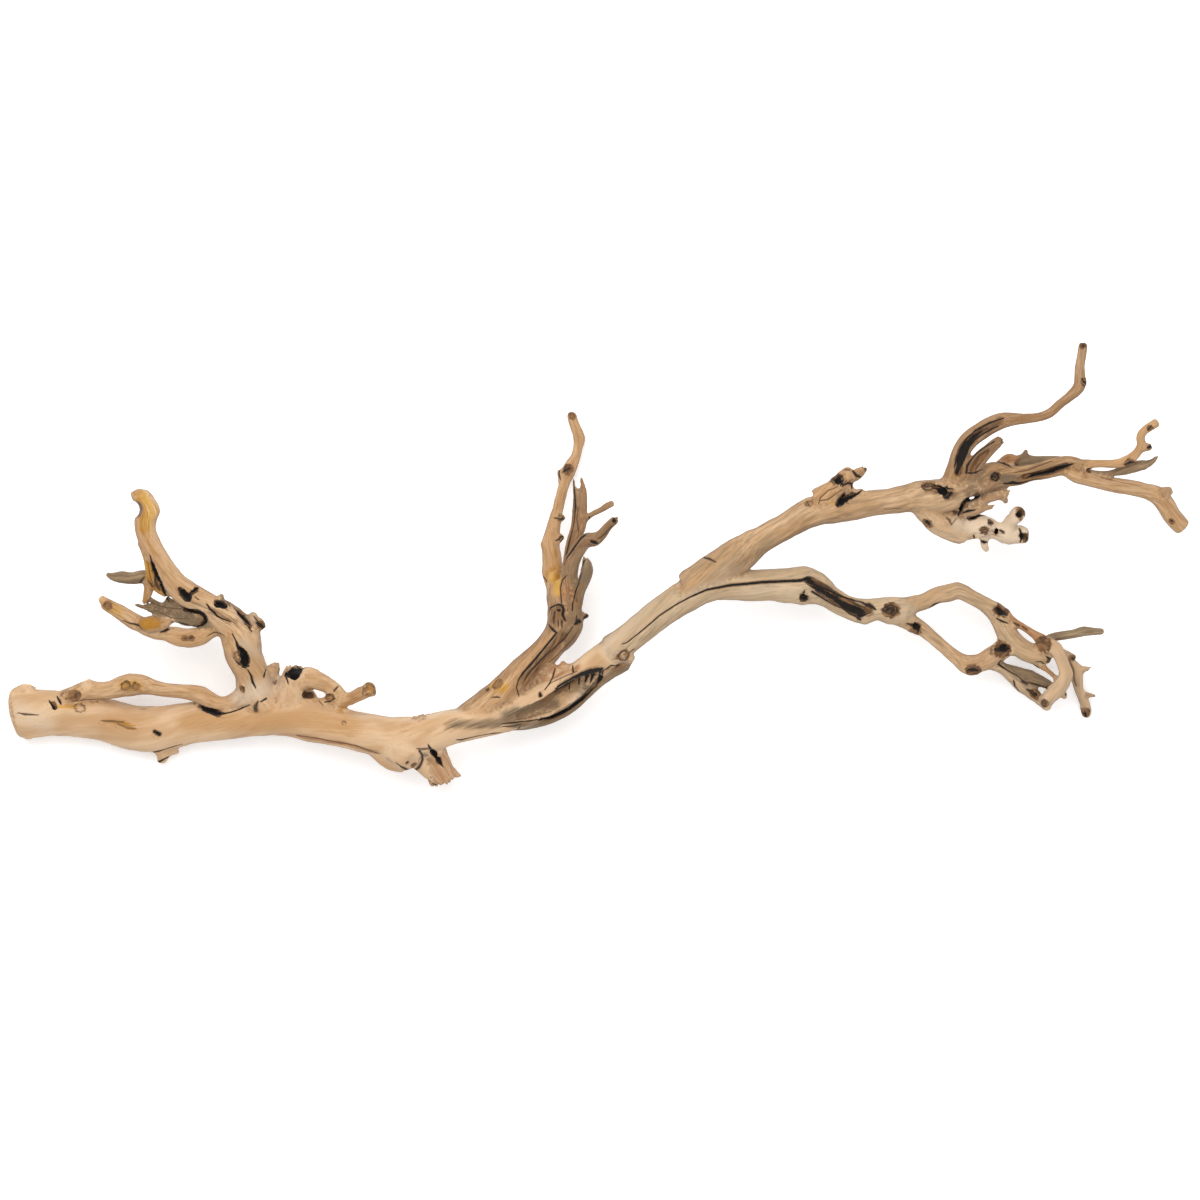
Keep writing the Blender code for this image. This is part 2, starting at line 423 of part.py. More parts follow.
def section(name, height_share, collection):
    """A closed outline of radius 1 mm that limbs are swept with; the radius of each point scales it."""
    outline = bpy.data.curves.new(name, "CURVE")
    outline.dimensions = "2D"
    ring = outline.splines.new("POLY")
    ring.points.add(ROUND_SIDES - 1)
    for number, point in enumerate(ring.points):
        angle = math.tau * number / ROUND_SIDES
        point.co = (math.cos(angle) * MM, math.sin(angle) * height_share * MM, 0, 1)
    ring.use_cyclic_u = True
    made = bpy.data.objects.new(name, outline)
    made.hide_render = True
    collection.objects.link(made)
    return made


def limb(name, points, outline, collection):
    """A smooth curve through the points, swept with the outline and closed at both ends."""
    path = bpy.data.curves.new(name, "CURVE")
    path.dimensions = "3D"
    path.twist_mode = "Z_UP"
    path.resolution_u = CURVE_STEPS
    path.bevel_mode = "OBJECT"
    path.bevel_object = outline
    path.use_fill_caps = True
    spline = path.splines.new("BEZIER")
    spline.bezier_points.add(len(points) - 1)
    for point, (x, y, z, radius) in zip(spline.bezier_points, points):
        point.co = Vector((x, y, z)) * MM
        point.radius = max(radius, THINNEST) + SKIN_LOSS
        point.handle_left_type = point.handle_right_type = "AUTO"
    made = bpy.data.objects.new(name, path)
    collection.objects.link(made)
    return made


def lengthened(points):
    """The points with both ends moved out by what fusing takes off a tip."""
    places = [Vector(point[:3]) for point in points]
    first = places[0] + (places[0] - places[1]).normalized() * TIP_LOSS
    last = places[-1] + (places[-1] - places[-2]).normalized() * TIP_LOSS
    return [(*first, points[0][3]), *points[1:-1], (*last, points[-1][3])]


def take_mesh(obj):
    """The evaluated mesh of an object, with the loose caps of a curve welded on. The object is removed."""
    bpy.context.view_layer.update()
    shown = obj.evaluated_get(bpy.context.evaluated_depsgraph_get())
    mesh = bpy.data.meshes.new_from_object(shown)
    mesh.transform(obj.matrix_world)
    bpy.data.objects.remove(obj)
    shape = bmesh.new()
    shape.from_mesh(mesh)
    bmesh.ops.remove_doubles(shape, verts=shape.verts, dist=0.01 * MM)
    bmesh.ops.recalc_face_normals(shape, faces=shape.faces)
    shape.to_mesh(mesh)
    shape.free()
    return mesh


def gathered(name, meshes, collection):
    """One object that holds all these meshes side by side."""
    shape = bmesh.new()
    for mesh in meshes:
        shape.from_mesh(mesh)
        bpy.data.meshes.remove(mesh)
    whole = bpy.data.meshes.new(name)
    shape.to_mesh(whole)
    shape.free()
    made = bpy.data.objects.new(name, whole)
    collection.objects.link(made)
    return made


def renewed(obj):
    """Gives an object the mesh that its modifiers make, and takes the modifiers off."""
    bpy.context.view_layer.update()
    shown = obj.evaluated_get(bpy.context.evaluated_depsgraph_get())
    mesh = bpy.data.meshes.new_from_object(shown)
    obj.modifiers.clear()
    obj.data = mesh
    return obj


def fuse(obj):
    """Makes one skin over overlapping shapes, and rounds the creases between them."""
    remesh = obj.modifiers.new("fuse", "REMESH")
    remesh.mode = "VOXEL"
    remesh.voxel_size = FUSE_VOXEL
    smooth = obj.modifiers.new("fillets", "SMOOTH")
    smooth.factor = 0.5
    smooth.iterations = FUSE_SMOOTHING
    return renewed(obj)


def drop_scraps(obj):
    """Keeps the one large body and deletes the loose scraps that cutting or thinning out leaves."""
    shape = bmesh.new()
    shape.from_mesh(obj.data)
    unseen = set(shape.verts)
    bodies = []
    while unseen:
        body, front = set(), [unseen.pop()]
        while front:
            corner = front.pop()
            body.add(corner)
            near = {edge.other_vert(corner) for edge in corner.link_edges} & unseen
            unseen -= near
            front += near
        bodies.append(body)
    largest = max(bodies, key=len)
    scraps = [corner for body in bodies if body is not largest for corner in body]
    bmesh.ops.delete(shape, geom=scraps, context="VERTS")
    shape.to_mesh(obj.data)
    shape.free()


def thin_out(obj, triangles):
    """Collapses the skin to this many triangles, which stay small only where the wood is thin."""
    obj.data.calc_loop_triangles()
    decimate = obj.modifiers.new("thin_out", "DECIMATE")
    decimate.ratio = triangles / len(obj.data.loop_triangles)
    return renewed(obj)


def mend(obj):
    """Cuts out the corners where thinning out pinched the skin, and closes the small holes left there."""
    shape = bmesh.new()
    shape.from_mesh(obj.data)
    for _ in range(MENDING_ROUNDS):
        pinched = {corner for edge in shape.edges if not edge.is_manifold for corner in edge.verts}
        if not pinched:
            break
        bmesh.ops.delete(shape, geom=list(pinched), context="VERTS")
        filled = bmesh.ops.holes_fill(shape, edges=[edge for edge in shape.edges if edge.is_boundary], sides=0)
        bmesh.ops.triangulate(shape, faces=filled["faces"])
    shape.to_mesh(obj.data)
    shape.free()


def surface_finder(obj):
    """A function that gives the height of the wood under a point of the picture, in millimetres."""
    tree = BVHTree.FromObject(obj, bpy.context.evaluated_depsgraph_get())

    def height(x, y):
        hit = tree.ray_cast(Vector((x * MM, y * MM, 1)), Vector((0, 0, -1)))[0]
        if hit is None:
            raise ValueError(f"no wood under {x}, {y}")
        return hit.z / MM

    return height


def hollow_cutter(name, points, height, outline, collection):
    """A tube that follows the wood's surface, to be taken out of it."""
    sunk = [(x, y, height(x, y) - depth, radius) for x, y, radius, depth in points]
    first, last = Vector(sunk[0][:3]), Vector(sunk[-1][:3])
    step = (last - first).normalized()
    start = (*(first - step * sunk[0][3] * RUN_ON), sunk[0][3] * RUN_ON_RADIUS)
    end = (*(last + step * sunk[-1][3] * RUN_ON), sunk[-1][3] * RUN_ON_RADIUS)
    return take_mesh(limb(name, [start, *sunk, end], outline, collection))


def seam_cutter(name, points, height, outline, collection):
    """A narrow upright blade along a seam, ground to nothing at its ends."""
    sunk = [[x, y, height(x, y), SEAM_WIDTH / 2] for x, y in points]
    sunk[0][3] = sunk[-1][3] = SEAM_WIDTH / 2 * SEAM_END_SHARE
    return take_mesh(limb(name, sunk, outline, collection))


def cut_hollows(obj, cutters):
    """Takes all hollows and seams out at once, with the MANIFOLD solver, as the skin is too fine for EXACT."""
    height = surface_finder(obj)
    round_outline = section("cutter_outline", 1, cutters)
    blade_outline = section("blade_outline", 2 * SEAM_DEPTH / SEAM_WIDTH, cutters)
    meshes = {name: hollow_cutter(name, at, height, round_outline, cutters) for name, at in HOLLOWS.items()}
    meshes |= {name: seam_cutter(name, at, height, blade_outline, cutters) for name, at in SEAMS.items()}
    meshes["stump_bore"] = take_mesh(limb("stump_bore", STUMP_BORE, round_outline, cutters))
    for name, mesh in meshes.items():
        cutter = bpy.data.objects.new(name, mesh)
        cutter.hide_render = True
        cutter.display_type = "WIRE"
        cutters.objects.link(cutter)
    boolean = obj.modifiers.new("hollows", "BOOLEAN")
    boolean.operation = "DIFFERENCE"
    boolean.operand_type = "COLLECTION"
    boolean.collection = cutters
    boolean.solver = "MANIFOLD"
    for outline in (round_outline, blade_outline):
        bpy.data.objects.remove(outline)
    renewed(obj)
    for cutter in list(cutters.objects):
        bpy.data.objects.remove(cutter)


def cut_flat(obj, place, outwards):
    """Takes off what lies beyond a plane and closes the cut, which leaves a flat face there."""
    shape = bmesh.new()
    shape.from_mesh(obj.data)
    everything = shape.verts[:] + shape.edges[:] + shape.faces[:]
    cut = bmesh.ops.bisect_plane(
        shape, geom=everything, plane_co=Vector(place) * MM, plane_no=Vector(outwards), clear_outer=True
    )
    rim = [part for part in cut["geom_cut"] if isinstance(part, bmesh.types.BMEdge)]
    bmesh.ops.edgeloop_fill(shape, edges=rim)
    bmesh.ops.triangulate(shape, faces=shape.faces)
    shape.to_mesh(obj.data)
    shape.free()


def pale_wood():
    wood = bpy.data.materials.new("blasted_vine_wood")
    wood.use_nodes = True
    shader = wood.node_tree.nodes["Principled BSDF"]
    shader.inputs["Base Color"].default_value = (0.72, 0.50, 0.30, 1)
    shader.inputs["Roughness"].default_value = 0.75
    shader.inputs["Metallic"].default_value = 0
    return wood


def build_branch():
    clear_scene()
    parts = new_collection(NAME)
    helpers = new_collection("helpers")
    round_outline = section("round_outline", 1, helpers)
    flat_outline = section("flat_outline", FLAT_SHARE, helpers)
    meshes = []
    for limbs, outline in ((ROUND_LIMBS, round_outline), (FLAT_LIMBS, flat_outline)):
        for group in limbs:
            meshes += [take_mesh(limb(name, lengthened(at), outline, parts)) for name, at in group.items()]
    branch = gathered(NAME, meshes, parts)
    fuse(branch)
    cut_hollows(branch, new_collection("cutters"))
    drop_scraps(branch)
    thin_out(branch, FINISHED_TRIANGLES)
    mend(branch)
    drop_scraps(branch)
    cut_flat(branch, SAW_CUT_PLACE, SAW_CUT_OUTWARDS)
    cut_flat(branch, (0, 0, 0), (0, 0, -1))
    for outline in (round_outline, flat_outline):
        bpy.data.objects.remove(outline)
    branch.data.materials.clear()
    branch.data.materials.append(pale_wood())
    branch.data.shade_smooth()
    return branch


build_branch()
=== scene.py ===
# %% [markdown]
# # A sandblasted grapevine branch
#
# A grapevine branch for terrariums and displays is an old piece of vine, cut off with a saw and blasted with
# sand until all the bark is gone. What is left is pale wood with a fine grain, dark rotten hollows, cracks
# and the round scars of old shoots. This lesson grows it again from its limbs: each limb is a curve, the
# curves are fused into one skin, the hollows are cut out, and relief and colour are laid along the grain.
#
# The branch lies on a table and is seen from straight above. x runs to the right, y up the picture and z
# towards the viewer. All tables are in millimetres, and Blender works in metres.

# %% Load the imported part, which gives the branch its place and size
import json
import math

import bpy
import numpy as np
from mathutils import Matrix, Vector, bvhtree, geometry, kdtree, noise

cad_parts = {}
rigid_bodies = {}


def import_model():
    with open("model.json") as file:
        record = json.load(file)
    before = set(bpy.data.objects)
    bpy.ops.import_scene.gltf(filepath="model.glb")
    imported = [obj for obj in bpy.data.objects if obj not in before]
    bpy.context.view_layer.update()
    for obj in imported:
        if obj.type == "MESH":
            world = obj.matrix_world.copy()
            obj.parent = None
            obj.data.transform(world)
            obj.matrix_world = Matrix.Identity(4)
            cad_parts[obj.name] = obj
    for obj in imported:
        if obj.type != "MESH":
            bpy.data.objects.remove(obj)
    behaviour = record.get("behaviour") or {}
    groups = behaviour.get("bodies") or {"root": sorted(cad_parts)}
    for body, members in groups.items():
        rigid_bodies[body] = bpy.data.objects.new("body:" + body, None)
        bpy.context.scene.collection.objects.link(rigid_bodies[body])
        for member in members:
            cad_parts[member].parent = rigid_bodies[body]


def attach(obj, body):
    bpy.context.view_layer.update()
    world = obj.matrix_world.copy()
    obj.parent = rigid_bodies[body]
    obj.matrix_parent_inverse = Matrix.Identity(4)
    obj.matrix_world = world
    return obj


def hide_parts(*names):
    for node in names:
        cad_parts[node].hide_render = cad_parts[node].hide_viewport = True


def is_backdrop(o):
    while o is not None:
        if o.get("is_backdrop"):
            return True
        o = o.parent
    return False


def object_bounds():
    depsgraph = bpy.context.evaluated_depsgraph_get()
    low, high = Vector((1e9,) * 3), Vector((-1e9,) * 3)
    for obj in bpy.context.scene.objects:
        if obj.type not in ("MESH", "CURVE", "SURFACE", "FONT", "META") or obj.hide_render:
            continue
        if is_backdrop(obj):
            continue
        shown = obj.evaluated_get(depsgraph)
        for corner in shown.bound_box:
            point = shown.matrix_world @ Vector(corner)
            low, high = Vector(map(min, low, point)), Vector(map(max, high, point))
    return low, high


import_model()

MM = 0.001
PART = "grapevine_branch"
cad_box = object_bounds()
print("the solid's box in mm:", [[round(side / MM, 1) for side in corner] for corner in cad_box])

# %% [markdown]
# ## Tables of places
#
# A natural form has no formula: its limbs, cracks and stains are measured spot by spot. They are kept
# as tables in plain text, which are shorter and easier to correct than nested brackets. Each row has a label,
# a colon and the places along it, with commas between them. A line without a colon goes on with its row.

# %% Read the tables
def read_points(text):
    """Places written as "1 2 3, 4 5 6", as tuples of numbers."""
    return [tuple(map(float, point.split())) for point in text.split(",") if point.strip()]


def read_rows(text):
    """The rows of a table, as (label, places). Lines with # are headings."""
    rows = []
    for line in text.splitlines():
        if line.startswith("#"):
            continue
        label, colon, points = line.rpartition(":")
        if colon:
            rows.append((label, []))
        if rows:
            rows[-1][1].extend(read_points(points))
    return rows


def read_strokes(text):
    """The rows of a table whose label is two numbers, as (places, number, number)."""
    return [(points, *map(float, label.split())) for label, points in read_rows(text)]


def read_grades(text):
    """A table of limbs, each row with one value and the limbs that have it, as {limb: value}."""
    grades = {}
    for line in text.splitlines():
        label, colon, names = line.rpartition(":")
        if colon:
            grade = float(label)
        grades |= {name: grade for name in names.split()}
    return grades


print("a row reads", read_rows("twig: 1 2 3 0.5, 4 5 6 0.4"))

# %% [markdown]
# ## Limbs as curves
#
# A vine limb is a round rod that changes in thickness from knot to knot. A Bezier curve with automatic
# handles passes through the given points without a kink, and each point's radius scales an outline that
# is swept along it. That is quicker to shape than a box modelled limb, and it keeps a centre line, which
# later tells every spot of the surface in which direction its grain runs.
#
# Split planks are flat: they get an outline of a little over half the height, and they lie level. The rows of
# the limb tables give each limb's name and then x, y, z and the radius from point to point.

# %% The two outlines, and a limb swept with one of them
ROUND_SIDES = 20
FLAT_SHARE = 0.6
CURVE_STEPS = 6
THINNEST = 1.3
SKIN_LOSS = 0.3
TIP_LOSS = 1.2
LINE_STEP = 2
centre_lines = {}


def deselect():
    bpy.ops.object.select_all(action="DESELECT")


def select_only(obj):
    deselect()
    obj.select_set(True)
    bpy.context.view_layer.objects.active = obj


def outline(name, height_share):
    """A closed ring of radius 1 mm, which limbs are swept with."""
    deselect()
    bpy.ops.curve.primitive_bezier_circle_add(radius=MM)
    ring = bpy.context.object
    ring.name = name
    ring.data.resolution_u = ROUND_SIDES // 4
    ring.scale = (1, height_share, 1)
    bpy.ops.object.transform_apply(location=False, rotation=False, scale=True)
    return ring


def lengthened(points, by):
    """The points with both ends moved out, since fusing the limbs wears off their tips."""
    places = [Vector(point[:3]) for point in points]
    first = places[0] + (places[0] - places[1]).normalized() * by
    last = places[-1] + (places[-1] - places[-2]).normalized() * by
    return [(*first, points[0][3]), *points[1:-1], (*last, points[-1][3])]


def limb(name, points, ring, extra=SKIN_LOSS):
    """A curve through the points (x, y, z and radius in mm), swept with the ring and closed at both ends."""
    deselect()
    bpy.ops.curve.primitive_bezier_curve_add()
    made = bpy.context.object
    made.name = name
    path = made.data
    path.splines.clear()
    path.twist_mode = "Z_UP"
    path.resolution_u = CURVE_STEPS
    path.bevel_mode = "OBJECT"
    path.bevel_object = ring
    path.use_fill_caps = True
    spline = path.splines.new("BEZIER")
    spline.bezier_points.add(len(points) - 1)
    for point, (x, y, z, radius) in zip(spline.bezier_points, points):
        point.co = Vector((x, y, z)) * MM
        point.radius = max(radius, THINNEST) + extra
        point.handle_left_type = point.handle_right_type = "AUTO"
    return made


def centre_line(curve):
    """Places along a curve about every LINE_STEP mm, in mm, with the radius there."""
    rows = []
    points = curve.data.splines[0].bezier_points
    for a, b in zip(points, points[1:]):
        steps = max(2, round((b.co - a.co).length / (LINE_STEP * MM)))
        places = geometry.interpolate_bezier(a.co, a.handle_right, b.handle_left, b.co, steps + 1)
        radii = np.linspace(a.radius, b.radius, steps + 1)
        rows += [(*(place / MM), radius) for place, radius in zip(places[:-1], radii)]
    rows.append((*(points[-1].co / MM), points[-1].radius))
    return np.array(rows)


def grow(limbs, ring):
    """Lays all limbs of a table and remembers their centre lines."""
    made = []
    for name, points in limbs.items():
        made.append(limb(name, lengthened(points, TIP_LOSS), ring))
    bpy.context.view_layer.update()
    for curve in made:
        centre_lines[curve.name] = centre_line(curve)
    return made


round_ring = outline("round_ring", 1)
flat_ring = outline("flat_ring", FLAT_SHARE)
limb_curves = []
print("an outline's size in mm:", [round(side / MM, 2) for side in flat_ring.dimensions])

# %% [markdown]
# ## The trunk
#
# The trunk starts at the sawn end on the left, sags under its first bow, carries a torn stub and a round
# lobe where an arm was ripped off, and rises along the belly strip to the elbow.

# %% The trunk and what grows straight out of it
TRUNK = dict(read_rows("""
trunk: -395 -100 19.5 14.6, -390 -99.8 19 15.4, -381 -100 18 16.2, -366 -99.5 17 15, -350 -101 16 14.5,
-332 -104 15 14.2, -312 -109.5 14.6 15.2, -298 -110.3 15.5 15.2, -272 -106 19 13.8, -250 -103.5 23 13.6,
-228 -101 27 13.9, -208 -100.5 31 14.2, -190 -104.5 34 14.4, -170 -109.8 37 12.8, -150 -114.3 40 13.4,
-134 -117 42 14.8, -118 -114.5 44 13.6, -100 -109 46 11.8, -84 -105.8 47 10.8, -65 -101.5 48 11,
-46 -95 49 11.5, -28 -85 50 11.3, -13 -74.5 52 9.8, -1 -64.8 54 9, 9 -57.8 55 9.4
end_tuft: -388 -86 22 3, -384 -82.5 24 2.2, -378 -83.5 24 1.8
under_nub: -296 -120 13 7, -292 -127 11 5, -293.5 -132 10 2
under_flake: -291 -125 11 4.5, -283 -124 12 2.6
torn_stub: -117 -112 43 12, -112.5 -124 38 9.8, -108 -134 33 9.4, -104 -143 29 9
torn_stub_left: -112 -137 34 4.5, -111.5 -146 31 2.2
torn_stub_flank: -128 -122 42 8, -119 -132 38 6.5, -113 -140 34 4
torn_stub_right: -100 -138 30 4, -94.5 -141 29 1.8
stub_lobe: -134 -120 45 12, -129 -128.5 49 9.3, -126.3 -131.5 52 7
stub_corner: -145 -122 40 10, -138.5 -130.5 38 7, -130 -134 37 5
belly_strip: -78 -108 44 5, -60 -106.3 43 4.8, -45 -105.6 42 4.2, -30 -101.4 43 3.9, -18 -94.6 44 3.9,
-8 -85.8 46 3.7, 1 -78 48 3.7, 10 -72.3 49 3.4, 18 -68.3 50 2.7
belly_wood: -50 -98 43 8, -25 -88 43 8, -6 -76 45 7, 7 -68 48 5
orange_strip: -40 -78 46 6, -30 -73.5 48 6, -22 -71.5 49 4, -14 -69 50 4
orange_thorn: -24 -70 49 3, -24 -65.5 50 1
"""))
limb_curves += grow(TRUNK, round_ring)
print("trunk limbs:", len(TRUNK))

# %% [markdown]
# ## The bowed side shoot
#
# A thinner shoot leaves the trunk beside the sawn end, bows out over an open gap and grows back into it.

# %% The side shoot
SIDE_SHOOT = dict(read_rows("""
arch: -357 -92 20 8, -350 -88.5 23 7, -342 -84.8 25 6.8, -333 -84.8 26 5.8, -326 -84 27 5.8, -320 -82 27 6.8,
-313.5 -80.7 27 7.6, -306 -80.5 27 6.6, -298 -82.3 27 4.9, -290 -84 27 4.5, -280 -85 28 4.5, -272 -86 29 5.2,
-266 -87.5 30 5.8, -260 -91 31 5.6, -254 -93.5 32 5, -247 -93 33 5.2, -240 -90 35 6.5, -233 -86 37 9
arch_splinter: -344 -82 27 4, -340 -78 28 1.4
"""))
limb_curves += grow(SIDE_SHOOT, round_ring)
print("side shoot limbs:", len(SIDE_SHOOT))

# %% [markdown]
# ## The left crown and the stump
#
# An old pruning head: a tall finger with a golden strand, a grey finger, a low finger with a golden knob, and
# split planks between them. The hollow stump next to it ends in a crooked spur.

# %% The left crown, its planks and the stump
LEFT_CROWN = dict(read_rows("""
tall_finger: -222 -96 30 13, -229 -84 36 12.5, -232 -72 43 11.3, -237 -60 50 12.4, -239.5 -50 56 12.3,
-246 -39.5 62 9.8, -256 -30.8 67 8.6, -266 -24.3 71 8.4, -275.5 -18.8 75 8.8, -283.5 -10.5 79 7.6,
-290 0.5 83 6.3, -297 12 87 6.6, -300.8 22 90 6.9, -300.8 29 92 7.4, -299.6 36 94 7.4, -301.5 41.5 95 6.6,
-303.5 45 95 5.6
finger_head: -301 44 95 5.4, -306 45.7 95 4.4
golden_strand: -303 14 86 3.5, -301 9 84 3.3, -299.5 2 82 2.8, -298.3 -5 80 2.8, -297 -11 78 3,
-293.5 -16 76 2.6, -288 -20 74 2.2
finger_web: -299 10 82 4, -294.5 0 78 3.6, -290 -9 75 4, -283 -18 71 5
grey_finger: -294 -10 75 5, -303 -8.5 71 4.4, -311 -9.5 68 3.9, -318 -8.7 65 4, -323 -8.5 63 3, -327 -7 62 1
wedge: -298.5 -12 74 4, -300 -19 70 3, -302.5 -25.5 66 1.4
low_finger: -243 -46 58 8.5, -251 -42 60 5.5, -258 -43.8 60 5.2, -264 -47.5 59 6, -272 -49.3 58 6.5,
-281 -48.2 58 6.2, -289 -46 59 5, -297 -44.5 60 5, -304 -41 62 5.2, -311 -37.2 64 5.2, -318 -32.5 67 4.7,
-325 -28.4 70 4.3, -328.5 -26.6 72 3.9
low_finger_knob: -303 -40 66 4, -298 -40 67 5.8, -292 -39.8 66 4.4, -287 -38.3 66 3, -283.5 -36.5 66 1.4
right_strand: -232 -55 53 7.5, -230 -46 57 4.3, -231 -38 60 3.4, -230 -34 62 2.8
right_knob: -230 -38 59 3, -226 -39.5 59 3.2, -224.5 -42.3 59 2.2
grey_stub: -236 -39 58 4.8, -243 -34.5 61 6, -249 -31 64 6.5, -253.5 -27.5 67 5
grey_stub_thorn: -252 -26 67 3, -251 -21 69 1.2
plank_root: -288 -25 67 3, -280 -29 67 4, -272 -32 66 4.6, -264 -35 65 5
upright_nub: -219 -74 36 5, -216 -68 38 3.4
"""))
LEFT_CROWN_FLAT = dict(read_rows("""
grey_plank: -308.5 -27 61 1.2, -303 -28.6 62 1.9, -297 -29.7 63 3.2, -291 -31 64 4, -284 -32.6 65 4.6,
-276 -35.8 65 5, -268 -37 65 5, -260 -38.5 64 4
grey_plank_prong: -299.5 -22.5 65 1.2, -294 -26.5 65 2.2, -287 -30 65 3
"""))
STUMP = dict(read_rows("""
stump: -206 -92 34 12, -205 -84 37 11, -203 -76 41 8.8, -202 -71.5 43 7.2
stump_arm: -199 -77 41 8, -193 -76 42 7.2, -187 -78.3 42 6.2, -181 -81 41 5.2, -176 -85 40 5,
-172.5 -90 39 5.2, -172 -96 38 3.6, -171 -99 37.5 1.8
stump_sill: -195 -93 38 5, -186 -92.8 39 3, -179 -91.5 40 3.6, -173 -91 40 4.4
stump_spur: -173 -91 40 4.6, -167 -90.3 41 4.2, -160 -87 43 4.4, -154 -84.5 45 4.4, -151 -83.7 46.5 4.3
"""))
limb_curves += grow(LEFT_CROWN, round_ring)
limb_curves += grow(LEFT_CROWN_FLAT, flat_ring)
limb_curves += grow(STUMP, round_ring)
print("left crown and stump limbs:", len(LEFT_CROWN) + len(LEFT_CROWN_FLAT) + len(STUMP))

# %% [markdown]
# ## The middle crown
#
# A tall cane bows down until its tip touches the table. Beside it stand a split limb, an ear and a cracked
# plank, all of grey old wood.

# %% The middle crown
MIDDLE_CROWN = dict(read_rows("""
crown_root: -93 -104.5 46 7.5, -83 -99 47 9.3, -73 -93.5 48 11, -62 -85.5 48 12, -50 -73 46 11,
-40 -63 44 9.8, -31 -53 42 9.5, -25 -43 41 10.5, -23.5 -33 41 11, -24 -23 40 10, -25 -13 38 8
tall_cane: -28 -25 38 6.5, -29 -15 36 6, -31 -6 34 6.5, -31.5 2 32 6.2, -32 9 30 6, -32 16 28 5.8,
-31 22 26 4.8, -29.5 29 24 4.3, -28 35 22 3.6, -25.8 44 19 3.5, -24 51 17 3.4, -22.5 56.5 15.5 3.8,
-20.5 61.5 14 4.8, -18.5 66.5 12.5 4.4, -15.6 72 11 3.1, -14.3 78 9 2.9, -13.3 84.5 7 3.8, -15.5 91 5 3.2,
-17.6 96.5 3 2.9, -18.3 100 2.4 3
cane_knob: -34 11 29 4, -36 14 28 3.2
cane_flake_top: -25 56 15 2.4, -26.6 62 15 1.4
cane_flake_middle: -28 31 25 2.6, -23.5 30.8 26 1.3
cane_flake_low: -29 17 28 3.4, -25 18.5 29 1.4
split_limb: -20 -25 42 6.5, -20 -14 44 6, -19.5 -4 46 5.5, -17 4 48 5, -13 11 50 4.8, -8 16 52 4.8,
-3 16.5 54 4.6, 1.5 19.5 56 3.4, 5 24 59 2.9, 9 28 62 2.8, 11 29.5 64 2.6
ear: -15 -27 46 4, -13 -18 49 3.8, -9.5 -10 52 4, -8 -4 54 4.2, -8.3 1 55 3, -9.3 4 55 1.4
split_spur: -9 30 42 2, -5 33 44 1.9, 1 36 47 1.9, 6 39 50 2.2, 9 40.5 51 1.9
crown_thorn: -13 -34 44 2.6, -7.5 -34.6 44 1.2
crown_side: -29 -56 42 6, -22.5 -49 43 7, -18.5 -42 44 7.4, -17 -34 46 6, -19 -26 46 5
"""))
MIDDLE_CROWN_FLAT = dict(read_rows("""
split_plank: -22 -2 41 3, -20 8 41 3.4, -17.5 16 41 4.2, -14 24 41 5, -13 33 40 5, -11.8 40 40 4.2,
-10.6 47 40 2.9, -10.5 51 40 2, -12 56.5 41 1.2
split_plank_tip: -15.5 36 40 2.6, -15.9 47 40 1.8, -16.5 52 40 1.4, -17 55.5 40 1.1
"""))
limb_curves += grow(MIDDLE_CROWN, round_ring)
limb_curves += grow(MIDDLE_CROWN_FLAT, flat_ring)
print("middle crown limbs:", len(MIDDLE_CROWN) + len(MIDDLE_CROWN_FLAT))

# %% [markdown]
# ## The fork and the upper arm's spur
#
# The main limb climbs to the fork. The lower arm goes on to a knotted joint, and the upper arm carries a
# gnarled spur half way along.

# %% The main limb, the upper arm and the gnarled spur
MAIN_LIMB = dict(read_rows("""
main_limb: 9 -57 55 10.2, 21 -48.5 56 9.8, 41.5 -32 58 10, 57.5 -21.5 60 10.8, 72 -14 61 11.5, 86 -13 61 10.8,
100 -14.6 60 10.3, 114 -14 58 10.2, 126 -14.5 56 11.5, 137 -14.5 54 13, 146 -17 52 10.8, 154 -22 50 7.6,
165 -28.5 47 7.4, 176 -31.5 44 8.3, 186 -30.3 42 7.1, 194 -31 40 9.2, 203 -31.5 38 9
upper_arm: 60 -16 61 11, 76 -5 64 11.5, 93 6 67 11.8, 108.5 16.5 70 8.6, 125 25.5 72 8.6, 140 33.9 74 9.9,
155 36.9 75 10.2, 168 38 76 8.9, 180 40.3 76 8.3, 192 41.5 76 8.2, 204 43.5 76 9, 214 44.8 76 10.8,
224 45 76 11.3, 234 46.5 76 11, 243 48 75 10
shoulder_nub: 60 -8 62 5, 58 -4.5 62 3
old_leaf_scar: 15 -60 58 6, 22 -63.5 56 2.4
elbow_flake: 12 -62 52 5, 20.5 -66.5 51 1.8
channel_corner: 176 -34 43 5, 178.5 -38 42 2.6
"""))
GNARL = dict(read_rows("""
gnarl: 146 42.5 77 8, 151 45.5 78 7.4, 157 50 79 6.2, 162 55 81 5, 164.5 59 83 5, 163 62 84 3.2
gnarl_eye: 160 53 81 3.6, 158.3 55.3 82 3.4
gnarl_tip: 165 57.5 82 4.4, 170.5 58.5 83 3.6, 174.5 61.8 84 2.7, 176.3 63.2 84.5 2.2
gnarl_leg: 165.5 55 80 3, 166.8 50.5 79 2.2, 169 45.5 77 3
gnarl_thorn: 169 46 78 2.4, 174.5 49 80 1.2
"""))
limb_curves += grow(MAIN_LIMB, round_ring)
limb_curves += grow(GNARL, round_ring)
print("fork limbs:", len(MAIN_LIMB) + len(GNARL))

# %% [markdown]
# ## The right crown
#
# The upper arm ends in a horn-shaped cane, a hollow stub, a long arm with two twigs and a row of pale knobs.

